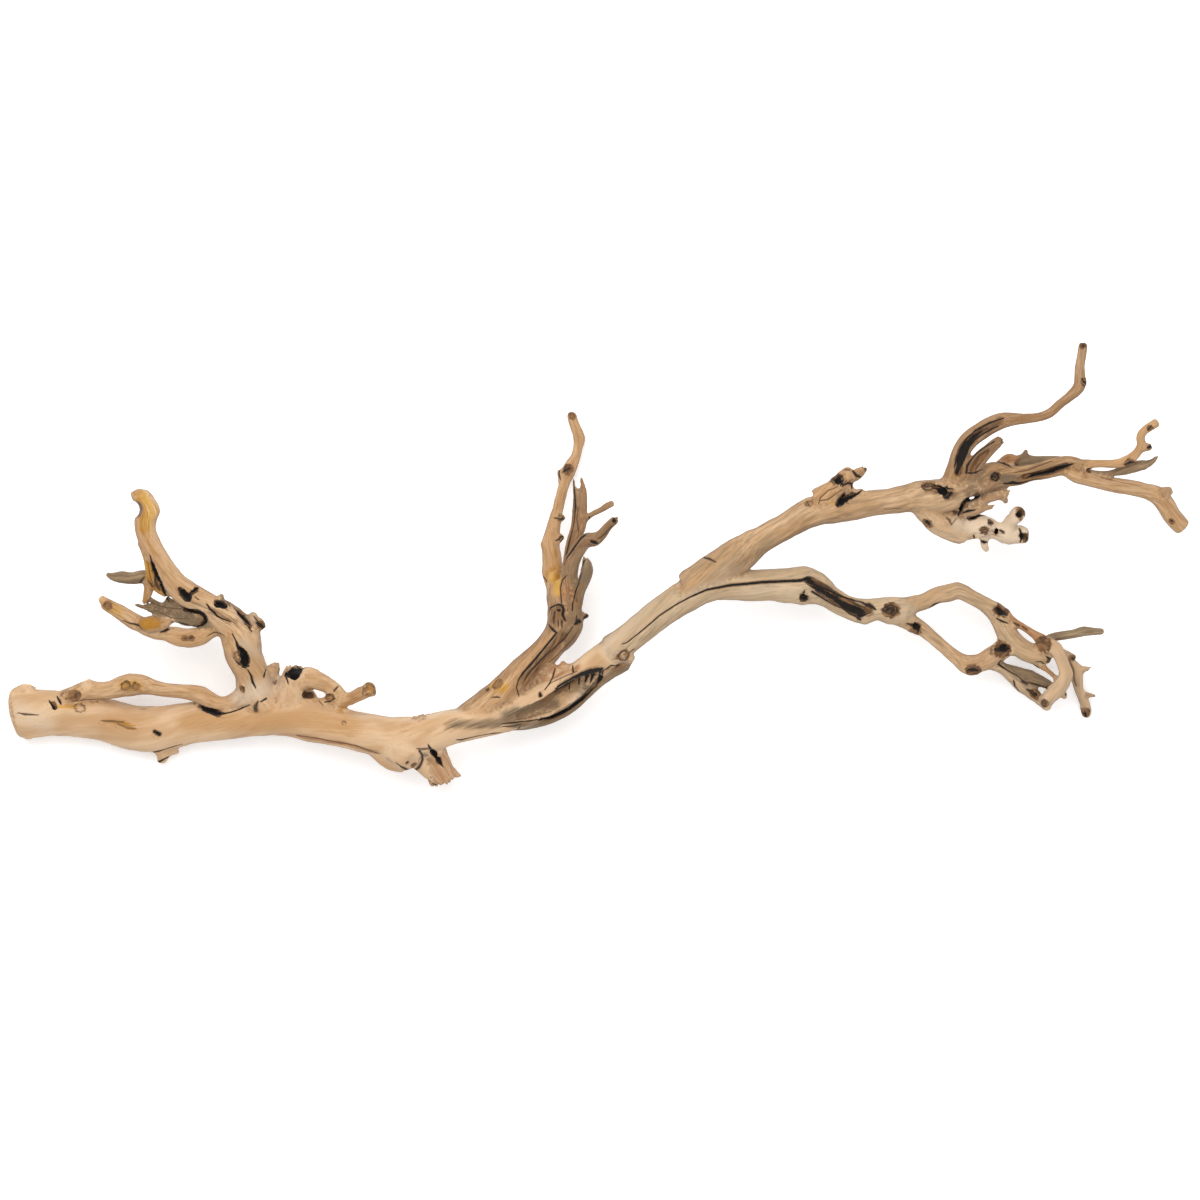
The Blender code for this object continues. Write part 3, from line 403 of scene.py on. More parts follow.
# %% The right crown
RIGHT_CROWN = dict(read_rows("""
horn: 235 50 76 9.5, 236.5 58 78 7.2, 238 66 81 6, 240.5 74.5 84 5.8, 245.5 82 87 6, 253.5 88 89 5.8,
262 93 91 5.7, 270 95.5 92 5, 277 96 92 3.8, 284 96.5 91 3.2, 292 97.4 90 2.8, 299 100 88 3, 306 106 86 2.9,
313 111.5 84 3.2, 319 118 82 4, 319.5 124.5 81 3.6, 319.5 131 80 3.1, 320.7 138 79 3, 321.8 145.3 78 2.9
horn_stub: 244 54 78 6, 248.5 63 83 5.6, 253 70 87 4.7, 259 76 91 4, 264 80.5 94 3.6, 266.3 82 95 3
arm_top: 240 50 76 9, 250 56 76 7.2, 257 60 76 6.2, 264 62.5 75 5.4, 274 61.6 74 3.8, 284 62.6 73 3,
294 65 72 2.8, 304 68 71 2.8, 313 69.3 70 2.5, 320 67.5 68 2.3
arm_low: 252 52 74 6.5, 261 55 73 6, 270 55.5 72 4.6, 278 55 71 2.8, 288 57.2 70 2, 298 59 69 2.2,
306 61.2 68 2.6, 313 62.8 66 3.8, 320 60 64 5
arm_wood: 268 58 69 4, 280 59 67 3.6, 295 62 66 3.6, 308 65.5 66 3.4
red_stub: 266 65 70 3.2, 272.5 69.3 70 4, 277 69.5 68 3
lower_twig: 312 62.5 66 4.5, 319 59 64 5.4, 326 56.8 61 5, 335 54.3 57 4.7, 345 52.3 53 5, 355 50.8 49 5,
365 48.5 45 5, 373 45.5 42 6, 378 40 40 6.2, 382 33 38 6, 387 27 36 5.8, 389.3 24.8 35 5.4
twig_corner: 376 47 44 4.2, 381 49 46 2.6
upper_twig: 314 66 66 3.6, 324 66.5 65 2.9, 334 66.7 65 2.4, 344 66.7 66 2.8, 351 68.6 68 3.4, 357 73 71 3,
360.5 79 74 2.8, 360 84.5 76 2.8, 362.5 88.6 78 2.8, 367 91.6 80 3, 370.6 93.6 81 2.9
dark_knob: 361 77 73 2.5, 366.3 77.7 75 2.3
bulge: 216 38 74 8, 221 32.5 72 8, 226 28.2 70 8.6, 232 25.8 69 9.2, 238 23 68 9, 243 21 67 8
knobs: 243 23.5 68 7.8, 250 24.6 67 7.8, 257 24.6 66 7.4, 263 22.5 65 5.2, 270 20.3 64 6.4, 276 19.3 63 6.4,
281 19.6 63 5.6, 284.5 19.5 63 4
knob_drop: 257 18 65 3.4, 256.5 12.6 64 2.2, 258.3 9.8 62 1.6
knob_rise: 272 22 66 5, 274 28 69 4.6, 277.5 32 72 4.1, 279.5 34 74 4
middle_strand: 238 38 72 5, 248 40.3 71 3.7, 256 42.7 70 3.1, 263 45 69 2.9, 269 46.6 68 3, 272 48 68 1.8
middle_hook: 268.7 45.5 68 2.4, 270.8 41.3 67 1.6
top_sliver: 248 49 72 3.4, 254 50 71 2.5, 260 50.6 70 1.8, 266 50.8 70 1.5, 273 53.5 70 1.2
low_sliver: 240 33.5 72 4, 250 35 73 2.8, 257 36.8 73 1.6, 262 38.2 73 1.2
"""))
RIGHT_CROWN_FLAT = dict(read_rows("""
arm_plank: 270 66 66 4.5, 281 68 64 5, 292 67.8 63 4.4, 303 68.4 63 3.6, 314 68.5 64 3
arm_plank_thorn: 282.5 70 64 3, 284.3 75.5 65 1.4
ragged_plank: 322 61.5 61 3, 334 60.2 59 2, 342 60.7 59 2.3, 350 62.6 60 3.6, 357 65 61 4.2, 363 66 62 3.5,
368 68 62 2, 371.5 71.5 62 1.3
"""))
limb_curves += grow(RIGHT_CROWN, round_ring)
limb_curves += grow(RIGHT_CROWN_FLAT, flat_ring)
print("right crown limbs:", len(RIGHT_CROWN) + len(RIGHT_CROWN_FLAT))

# %% [markdown]
# ## The open loop
#
# The lower arm divides and closes again around an open loop. Beyond it lies a tangle of thin spurs, and the
# far strand reaches down to the table.

# %% The loop and the tangle beyond it
LOOP = dict(read_rows("""
loop_upper: 203 -30 38 8, 210 -26.8 37 5.6, 218 -24.8 37 5.3, 226 -20.8 37 5.5, 233 -19.6 36 5.8,
240 -18 36 5.4, 248 -21.8 35 4.8, 256 -26 34 4.8, 263 -31 33 5.6, 269 -38 32 6.8, 272 -45 31 6.8,
277 -52 30 6.8, 285 -58 29 6.6, 293 -60.5 28 6.8, 300 -60 28 5.5
loop_lower: 200 -34 38 7.5, 206 -38 37 5.8, 214 -42 35 4.7, 222 -48.5 32 4.1, 231 -56.3 29 3.9,
239 -62.8 27 4.5, 247 -67.2 26 6.8, 255 -66 26 6.2, 262 -62.5 27 7, 269 -57.5 29 6.5, 275 -53 30 6
low_strand: 260 -66 26 4.2, 269 -69.8 24 3.2, 277 -76.5 22 3.8, 283 -81.5 21 4.2, 290 -86.5 20 4.2,
296 -92 19 3.4, 299.5 -96 18 2
front_limb: 295 -56 29 5, 303 -55 34 4.6, 307 -60 36 4.4, 310 -67 36 4.2, 311.5 -74 35 4.4, 309 -80 33 5,
304 -85.5 30 5.2, 299.5 -91 26 4.6, 299 -96 23 2.8
bridge_twig: 271 -34 33 3.5, 278 -39 35 2.3, 284 -42.5 36 2.2, 290 -46.5 36 2.6, 295 -50 35 3.2,
297 -55 32 4.5
grey_twig: 297 -53 27 3.5, 303 -49 26 2.9, 311 -47.5 26 2.9, 318 -46.3 27 2.9, 324 -44.8 28 3.3,
331 -45 29 2.5, 336.5 -45 30 1.9
far_strand: 300 -57 30 4, 306 -58.5 29 4, 311.5 -61.5 26 3.4, 315.5 -66 23 3.6, 319 -71.5 20 4.8,
320 -77 16 3.8, 321 -83 12.5 3, 323.5 -89 9 2.9, 326 -95 5 3.2, 326.8 -98.5 2.6 3.2, 326.3 -101.5 2.4 2.2
tuft_top: 313 -60.5 26 2.6, 317.5 -62 26 1.4
tuft_side: 321 -70.5 20 2.6, 328 -70 20 1.2
tuft_low: 323.5 -86.5 10 2.2, 331 -88 9 1.2
tuft_back: 308 -83 29 3.4, 311.5 -89 28 1.8
sliver_back: 293 -66.5 28 2.4, 299 -70.5 28 1.7, 305.5 -76 30 1.4
"""))
LOOP_FLAT = dict(read_rows("""
loop_plank: 262 -64.5 25 3.6, 272 -69.3 22 3, 280 -72.3 20 3.8, 288 -75 19 4.5, 296 -78.5 18 3.8, 303 -82 18 3
"""))
limb_curves += grow(LOOP, round_ring)
limb_curves += grow(LOOP_FLAT, flat_ring)
print("loop limbs:", len(LOOP) + len(LOOP_FLAT))

# %% [markdown]
# ## Small forms
#
# Spikes, nubs and rims that are too small for the tables above: they only show from near by.

# %% Spikes, nubs and rims
SMALL_FORMS = dict(read_rows("""
pocket_floor: -193.5 -88.5 36 3.6, -191 -86.5 36.5 3.2
stump_rim: -198 -78 42 6, -196.5 -72 44 4.4
tuft_spike_left: -386.5 -86 24 2, -385.5 -81.5 25 1.1
tuft_spike_right: -381.5 -85 24 2, -380.5 -82 25 1.1
tuft_spike_outer: -390 -89 22 2, -389 -84.5 23 1
arch_curl: -352 -90 26 2.4, -345 -84 29 2.2, -340.5 -78.5 30 1.2
trunk_lug: -383 -113 15 3, -381.5 -115.5 14 2.6
head_hook: -305 46 95 4, -309 44.6 95 3
low_tip: -328 -26 72 3.4, -331 -23 73 2.2
"""))
limb_curves += grow(SMALL_FORMS, round_ring)
print("small forms:", len(SMALL_FORMS))

# %% [markdown]
# ## One skin
#
# The limbs only overlap so far. They are turned into meshes and joined, and a voxel remesh then draws one
# closed skin around all of them, on a grid finer than the branch's finest forms. A Smooth modifier rounds
# the creases between limbs into the soft fillets of grown wood. A Boolean union would keep them hard.

# %% Fuse the limbs
FUSE_VOXEL = 1.0 * MM
FUSE_SMOOTHING = 5
WELD = 0.01 * MM


def apply_modifiers(obj):
    select_only(obj)
    for modifier in list(obj.modifiers):
        bpy.ops.object.modifier_apply(modifier=modifier.name)


def as_mesh(curve):
    """The curve turned into a mesh, with its end caps welded on and all faces pointing out."""
    select_only(curve)
    bpy.ops.object.convert(target="MESH")
    bpy.ops.object.mode_set(mode="EDIT")
    bpy.ops.mesh.select_all(action="SELECT")
    bpy.ops.mesh.remove_doubles(threshold=WELD)
    bpy.ops.mesh.normals_make_consistent(inside=False)
    bpy.ops.object.mode_set(mode="OBJECT")
    return curve


def remesh(obj, voxel, smoothing):
    fuse = obj.modifiers.new("fuse", "REMESH")
    fuse.mode = "VOXEL"
    fuse.voxel_size = voxel
    fillets = obj.modifiers.new("fillets", "SMOOTH")
    fillets.factor = 0.5
    fillets.iterations = smoothing
    apply_modifiers(obj)


meshes = [as_mesh(curve) for curve in limb_curves]
deselect()
for mesh_object in meshes:
    mesh_object.select_set(True)
bpy.context.view_layer.objects.active = meshes[0]
bpy.ops.object.join()
branch = bpy.context.object
branch.name = "sandblasted_branch"
remesh(branch, FUSE_VOXEL, FUSE_SMOOTHING)
print("faces of the fused skin:", len(branch.data.polygons))

# %% [markdown]
# ## Hollows
#
# Where heartwood rotted away or an arm broke out, the branch is open. Each hollow is a tube that follows the
# surface, so its rows give x and y in the picture, the radius and the depth, and a ray finds the height of
# the wood there. A bore goes its own way, with x, y, z and radius. The seams between grown-together strands
# are narrow upright blades, with x and y alone. A Displace modifier roughens all of them, which gives the
# holes the torn rims of rotten wood, and one Boolean takes them out.

# %% The hollows and seams, and how they are cut
HOLLOWS = dict(read_rows("""
scoop: -52 -101 3.6 1, -40 -97 5.6 2, -26 -90 7.4 3, -13 -82 7.6 4, -3 -75 5 4
channel: 139 -10.5 3 1, 149 -17 4 2, 162 -25 4.4 2, 173 -31.5 4.4 2, 180 -31 2.6 1
crown_window: -239 -56.5 2.6 2, -236.5 -61 3.4 3, -236 -65 4 4
finger_hole: -277 -18.5 2.6 2, -273 -22.5 3.2 3
finger_hole_tail: -271.5 -20 1.5 1, -267.5 -17 1.7 2
knot_hole: -255 -26.5 2.8 2, -250 -28.5 3.4 4
side_shoot_hole: -264.5 -96 1.8 1, -259 -98 2.6 2, -253.5 -100 2 1
junction_hole: 223.5 50.5 2.6 2, 229.5 47 4 4
gnarl_cavity: 158.5 39.5 2.2 1, 163 42.5 3.6 3, 169 46 2.2 1
horn_channel: 238.5 60 2.2 1, 239.5 68 3 1, 243 77 3.4 1, 249 84 2.6 1, 257 89.5 1.6 0
horn_stub_channel: 247.5 62 2 1, 253 69.5 2.6 1, 258.5 75 1.6 0
arm_crevice: 282 58.6 1.4 1, 292 60.5 2.2 1, 302 62.8 2.6 1, 311 65.8 1.6 0
stub_slit: -111.6 -124 1.6 1, -109.5 -127 2.3 3, -106 -132.5 1.6 1
pocket: -196.5 -87 2.2 1, -193.5 -88 2.6 1
loop_knot_top: 264.5 -30.5 2.6 1, 267 -32.5 2.6 1
loop_knot_low: 270 -55.5 2.4 1, 273.5 -56 2.6 1
loop_knot_left: 210.5 -40 2 1, 213 -42 2.2 1
lower_arm_knot: 134.5 -21.3 2.2 1, 137 -21.6 2.2 1
knob_rise_end: 278.3 32.2 2.2 1, 280.2 34 2.2 1
knobs_end: 280.5 18.8 2.6 1, 283 18.4 2.6 1
gnarl_eye_socket: 158.8 54 2 1, 159.4 56 2 1
stump_mouth: -206.5 -74 2.4 2, -203.5 -72.8 2.8 3, -199.5 -71.2 2.5 3
trunk_knot: -364.5 -92.5 1.4 1, -363.5 -96.5 1.6 1
"""))
SMOOTH_HOLLOWS = {"stump_mouth", "gnarl_eye_socket", "lower_arm_knot"}
SMOOTH_SHARE = 0.3
BORES = dict(read_rows("""
stump_bore: -203 -72.5 52 3, -203 -74.5 46 3.6, -203.5 -79 42 3.4, -204.5 -85 37 2.6
head_bite: -308.2 35.8 105 7, -311.2 35.4 82 4
"""))
SEAMS = dict(read_rows("""
belly_seam: -40 -103.8, -30 -101.3, -18 -95, -7 -85, 1 -75
plank_seam: -277 -30, -272 -31, -265.5 -32.3, -261.5 -36.5, -264.5 -41
finger_seam: -296.5 1, -295 -5, -291.5 -12, -288.5 -20
strand_seam: -241 -32, -236 -37, -231.5 -43
right_strand_gap: 239 33, 240.5 37, 243 41.3, 248 43.6, 252 44.8
right_strand_slot: 245.5 30, 249 30.5, 254 32
knobs_gap: 264.5 24, 264.3 19.5
"""))
SEAM_WIDTH = 1.4
SEAM_DEPTH = 2.6
RUN_ON = 0.8
RUN_ON_RADIUS = 0.5
SEAM_END_SHARE = 0.33
RAGGED_DEPTH = 0.8 * MM
RAGGED_LENGTH = 5 * MM
RAY_START = 1


def skin_tree(obj):
    return bvhtree.BVHTree.FromObject(obj, bpy.context.evaluated_depsgraph_get())


def above(tree, x, y):
    """The height of the wood, in mm, under a place in the picture."""
    hit = tree.ray_cast(Vector((x * MM, y * MM, RAY_START)), Vector((0, 0, -1)))[0]
    if hit is None:
        raise ValueError(f"no wood under {x}, {y}")
    return hit.z / MM


def hollow_points(points, tree):
    """The tube's points: sunk under the surface, and running on a little at both ends."""
    sunk = [(x, y, above(tree, x, y) - depth, radius) for x, y, radius, depth in points]
    first, last = Vector(sunk[0][:3]), Vector(sunk[-1][:3])
    step = (last - first).normalized()
    start = (*(first - step * sunk[0][3] * RUN_ON), sunk[0][3] * RUN_ON_RADIUS)
    end = (*(last + step * sunk[-1][3] * RUN_ON), sunk[-1][3] * RUN_ON_RADIUS)
    return [start, *sunk, end]


def seam_points(points, tree):
    """The blade's points on the surface, ground to a point at both ends."""
    sunk = [[x, y, above(tree, x, y), SEAM_WIDTH / 2] for x, y in points]
    sunk[0][3] = sunk[-1][3] = SEAM_WIDTH / 2 * SEAM_END_SHARE
    return sunk


def rough_cutter(curve, cutters, ragged, share=1):
    """The curve as a mesh with an uneven skin, in the collection of cutters."""
    cutter = as_mesh(curve)
    displace = cutter.modifiers.new("ragged", "DISPLACE")
    displace.texture = ragged
    displace.texture_coords = "LOCAL"
    displace.strength = RAGGED_DEPTH * share
    apply_modifiers(cutter)
    for collection in list(cutter.users_collection):
        collection.objects.unlink(cutter)
    cutters.objects.link(cutter)


uncut_tree = skin_tree(branch)
ragged = bpy.data.textures.new("ragged", "CLOUDS")
ragged.noise_scale = RAGGED_LENGTH
cutters = bpy.data.collections.new("cutters")
bpy.context.scene.collection.children.link(cutters)
blade_ring = outline("blade_ring", 2 * SEAM_DEPTH / SEAM_WIDTH)
for name, points in HOLLOWS.items():
    curve = limb(name, hollow_points(points, uncut_tree), round_ring)
    rough_cutter(curve, cutters, ragged, SMOOTH_SHARE if name in SMOOTH_HOLLOWS else 1)
for name, points in SEAMS.items():
    rough_cutter(limb(name, seam_points(points, uncut_tree), blade_ring, 0), cutters, ragged)
for name, points in BORES.items():
    rough_cutter(limb(name, points, round_ring), cutters, ragged, SMOOTH_SHARE)
open_up = branch.modifiers.new("hollows", "BOOLEAN")
open_up.operation = "DIFFERENCE"
open_up.operand_type = "COLLECTION"
open_up.collection = cutters
open_up.solver = "MANIFOLD"
apply_modifiers(branch)
for helper in [*cutters.objects, round_ring, flat_ring, blade_ring]:
    bpy.data.objects.remove(helper)
bpy.data.collections.remove(cutters)

# %% [markdown]
# ## An even, fine skin, and the saw cut
#
# The Boolean leaves long thin faces at the rims, and a saw cut leaves one huge face. Both would crumple under
# fine relief, so the skin is remeshed once more after the cuts. The saw cut at the trunk's end is a
# bisect with its cut filled, a little askew, as a handsaw leaves it.

# %% Saw off the end and remesh
SKIN_VOXEL = 0.95 * MM
SKIN_SMOOTHING = 1
SAW_CUT_PLACE = (-389.6, -98, 19)
SAW_CUT_OUTWARDS = (-0.993, -0.12, 0)


def edit_mesh(obj):
    select_only(obj)
    bpy.ops.object.mode_set(mode="EDIT")
    bpy.ops.mesh.select_all(action="SELECT")


def keep_largest_body(obj):
    """Deletes the crumbs that cutting leaves."""
    select_only(obj)
    name = obj.name
    bpy.ops.mesh.separate(type="LOOSE")
    bodies = sorted(bpy.context.selected_objects, key=lambda body: len(body.data.vertices))
    for crumb in bodies[:-1]:
        bpy.data.objects.remove(crumb)
    bodies[-1].name = name
    return bodies[-1]


edit_mesh(branch)
bpy.ops.mesh.bisect(
    plane_co=Vector(SAW_CUT_PLACE) * MM, plane_no=SAW_CUT_OUTWARDS, use_fill=True, clear_outer=True
)
bpy.ops.object.mode_set(mode="OBJECT")
remesh(branch, SKIN_VOXEL, SKIN_SMOOTHING)
branch = keep_largest_body(branch)
edit_mesh(branch)
bpy.ops.mesh.quads_convert_to_tris()
bpy.ops.object.mode_set(mode="OBJECT")
print("triangles of the fine skin:", len(branch.data.polygons))

# %% [markdown]
# ## Grain coordinates
#
# Wood grain follows each limb round every bend, so a pattern in plain x, y and z would look like veneer cut
# across the branch. Every vertex therefore gets its own grain coordinates: how far along its limb it lies,
# and how far it is from the centre line in two directions that travel along with the limb without twisting.
# A slow turn is added on top, because old vines grow a little spirally. The same three numbers later steer
# the relief and the colours.

# %% Find each vertex's limb and its place on it
LIMB_REACH = 6
TURN_LENGTH = 420
SPIRAL_TURN = math.tau / TURN_LENGTH
LIMB_SHIFT = 131


def column(mesh_part, key, size):
    """One property of all vertices or edges as an array."""
    values = np.empty(len(mesh_part) * size, np.float32)
    mesh_part.foreach_get(key, values)
    return values.reshape(-1, size).astype(float)


def travelling_frame(centres):
    """Unit directions along a centre line, and two square to it that don't twist."""
    ahead = np.gradient(centres, axis=0)
    ahead /= np.linalg.norm(ahead, axis=1)[:, None]
    side = np.empty_like(ahead)
    start = np.array([0, 0, 1.0])
    for row, direction in enumerate(ahead):
        start = start - direction * (start @ direction)
        start /= np.linalg.norm(start)
        side[row] = start
    return ahead, side, np.cross(ahead, side)


places = column(branch.data.vertices, "co", 3) / MM
count = len(places)
limb_names = list(centre_lines)
closest = np.full(count, np.inf)
limb_of = np.zeros(count, int)
grain = np.zeros((count, 3))
along_limb = np.zeros((count, 3))
limb_radius = np.ones(count)
from_ends = np.zeros((count, 2))
for number, name in enumerate(limb_names):
    centres, radii = centre_lines[name][:, :3], centre_lines[name][:, 3]
    ahead, side_a, side_b = travelling_frame(centres)
    run = np.concatenate([[0], np.cumsum(np.linalg.norm(np.diff(centres, axis=0), axis=1))])
    reach = radii.max() + LIMB_REACH
    inside = (places > centres.min(0) - reach) & (places < centres.max(0) + reach)
    near = np.where(inside.all(axis=1))[0]
    gaps = np.linalg.norm(places[near, None] - centres[None], axis=2) - radii
    row = gaps.argmin(axis=1)
    gap = gaps[np.arange(len(near)), row]
    better = gap < closest[near]
    near, row, gap = near[better], row[better], gap[better]
    closest[near] = gap
    offset = places[near] - centres[row]
    step = (offset * ahead[row]).sum(axis=1)
    distance = run[row] + step
    turn = distance * SPIRAL_TURN
    across_a, across_b = (offset * side_a[row]).sum(axis=1), (offset * side_b[row]).sum(axis=1)
    grain[near, 0] = distance + LIMB_SHIFT * number
    grain[near, 1] = across_a * np.cos(turn) - across_b * np.sin(turn)
    grain[near, 2] = across_a * np.sin(turn) + across_b * np.cos(turn)
    along_limb[near] = ahead[row]
    limb_radius[near] = radii[row]
    from_ends[near, 0] = distance
    from_ends[near, 1] = run[-1] - distance
    limb_of[near] = number
print("vertices with grain:", int(np.isfinite(closest).sum()), "of", count)

# %% [markdown]
# ## Brushes
#
# The rest is done the way a sculptor and a painter would do it: with brushes. A brush takes places in the
# picture, finds the wood under them and returns how strongly each vertex is touched, 1 in the middle and 0 at
# its edge. The same brush pushes the surface in for a crack, raises the collar of a knot or lays on a stain.

# %% Softening and noise along the grain
JOIN_ROUNDS = 16
JOIN_GAIN = 2.6


def softened(values, rounds):
    """Each vertex moves half way to its neighbours' mean, this many times."""
    flat = values.reshape(count, -1)
    for _ in range(rounds):
        sums = [np.bincount(edge_from, side[edge_to], count) for side in flat.T]
        flat = 0.5 * flat + 0.5 * np.stack(sums, axis=1) / neighbour_count[:, None]
    return flat.reshape(values.shape)


def smoothstep(values, low, high):
    share = np.clip((values - low) / (high - low), 0, 1)
    return share * share * (3 - 2 * share)


def noise_along(along, across, shift=0):
    """Perlin noise, about -1 to 1, in cells this many mm long along the grain and this wide across it."""
    return np.array([noise.noise(cell) for cell in grain / (along, across, across) + shift])


def noise_in_space(cell, shift=0):
    return np.array([noise.noise(place) for place in places / cell + shift])


edges = column(branch.data.edges, "vertices", 2).astype(int)
edge_from = np.concatenate([edges[:, 0], edges[:, 1]])
edge_to = np.concatenate([edges[:, 1], edges[:, 0]])
neighbour_count = np.maximum(np.bincount(edge_from, minlength=count), 1)
on_border = np.bincount(edge_from, limb_of[edge_from] != limb_of[edge_to], count) > 0
join = np.clip(JOIN_GAIN * softened(on_border.astype(float), JOIN_ROUNDS), 0, 1)
print("share of the surface where limbs run into each other:", round(float((join > 0.5).mean()), 2))

# %% Strokes and brushes
STROKE_STEP = 0.6
FROM_ABOVE, FROM_BELOW = 1, -1


def stroke(points, side=FROM_ABOVE):
    """Places on the wood along a line through points of the picture, the surface's directions, the widths."""
    found, faces, widths = [], [], []
    for point, to in zip(points, points[1:] or points):
        steps = max(1, round(math.dist(point[:2], to[:2]) / STROKE_STEP))
        for share in np.linspace(0, 1, steps + 1):
            x, y, *width = np.array(point) * (1 - share) + np.array(to) * share
            hit, face, _, _ = skin.ray_cast(Vector((x * MM, y * MM, side * RAY_START)), Vector((0, 0, -side)))
            if hit is not None:
                found.append(tuple(hit / MM))
                faces.append(tuple(face))
                widths.append(width[0] if width else 0)
    return np.array(found), np.array(faces), np.array(widths)


def brush(points, radius):
    """How near each vertex is to a stroke: 1 on it, 0 from the radius outwards."""
    touched = np.zeros(count)
    for spot in stroke(points)[0]:
        for _, index, gap in vertex_tree.find_range(spot, radius):
            touched[index] = max(touched[index], 1 - gap / radius)
    return touched


vertex_tree = kdtree.KDTree(count)
for index, place in enumerate(places):
    vertex_tree.insert(place, index)
vertex_tree.balance()
skin = skin_tree(branch)
normals = column(branch.data.vertices, "normal", 3)
print("vertices a brush can find:", count)

# %% [markdown]
# ## How deep each spot lies
#
# Two measures come straight from the shape. How far a spot lies under the uncut skin says how deep it is in a
# hollow. How far it lies under a heavily smoothed copy of the skin says how hidden it is in a crease. Both
# later
# darken the colour: deep in a hollow as rot and painted shade, in a crease as painted shade. The limb's
# radius keeps the relief small on canes.

# %% Depth in hollows and in creases
CREASE_ROUNDS = 30
TRUNK_TOP = -75
SAWN_LAYER, SAWN_SURE = 2.5, 1
FACES_LEFT = (0.4, 0.8)
FULL_GIRTH = 9
THIN_SHARE = 0.3
hollow_depth = np.array([uncut_tree.find_nearest(Vector(place) * MM)[3] / MM for place in places])
cut_at = -SAW_CUT_PLACE[0]
on_trunk = places[:, 1] < TRUNK_TOP
sawn = smoothstep(-places[:, 0], cut_at - SAWN_LAYER, cut_at - SAWN_SURE) * on_trunk
hollow_depth *= 1 - sawn
sawn *= smoothstep(-normals[:, 0], *FACES_LEFT)
crease_depth = ((softened(places, CREASE_ROUNDS) - places) * normals).sum(axis=1)
girth = np.clip(limb_radius / FULL_GIRTH, THIN_SHARE, 1)
print(f"deepest hollow {hollow_depth.max():.1f} mm, deepest crease {crease_depth.max():.1f} mm")
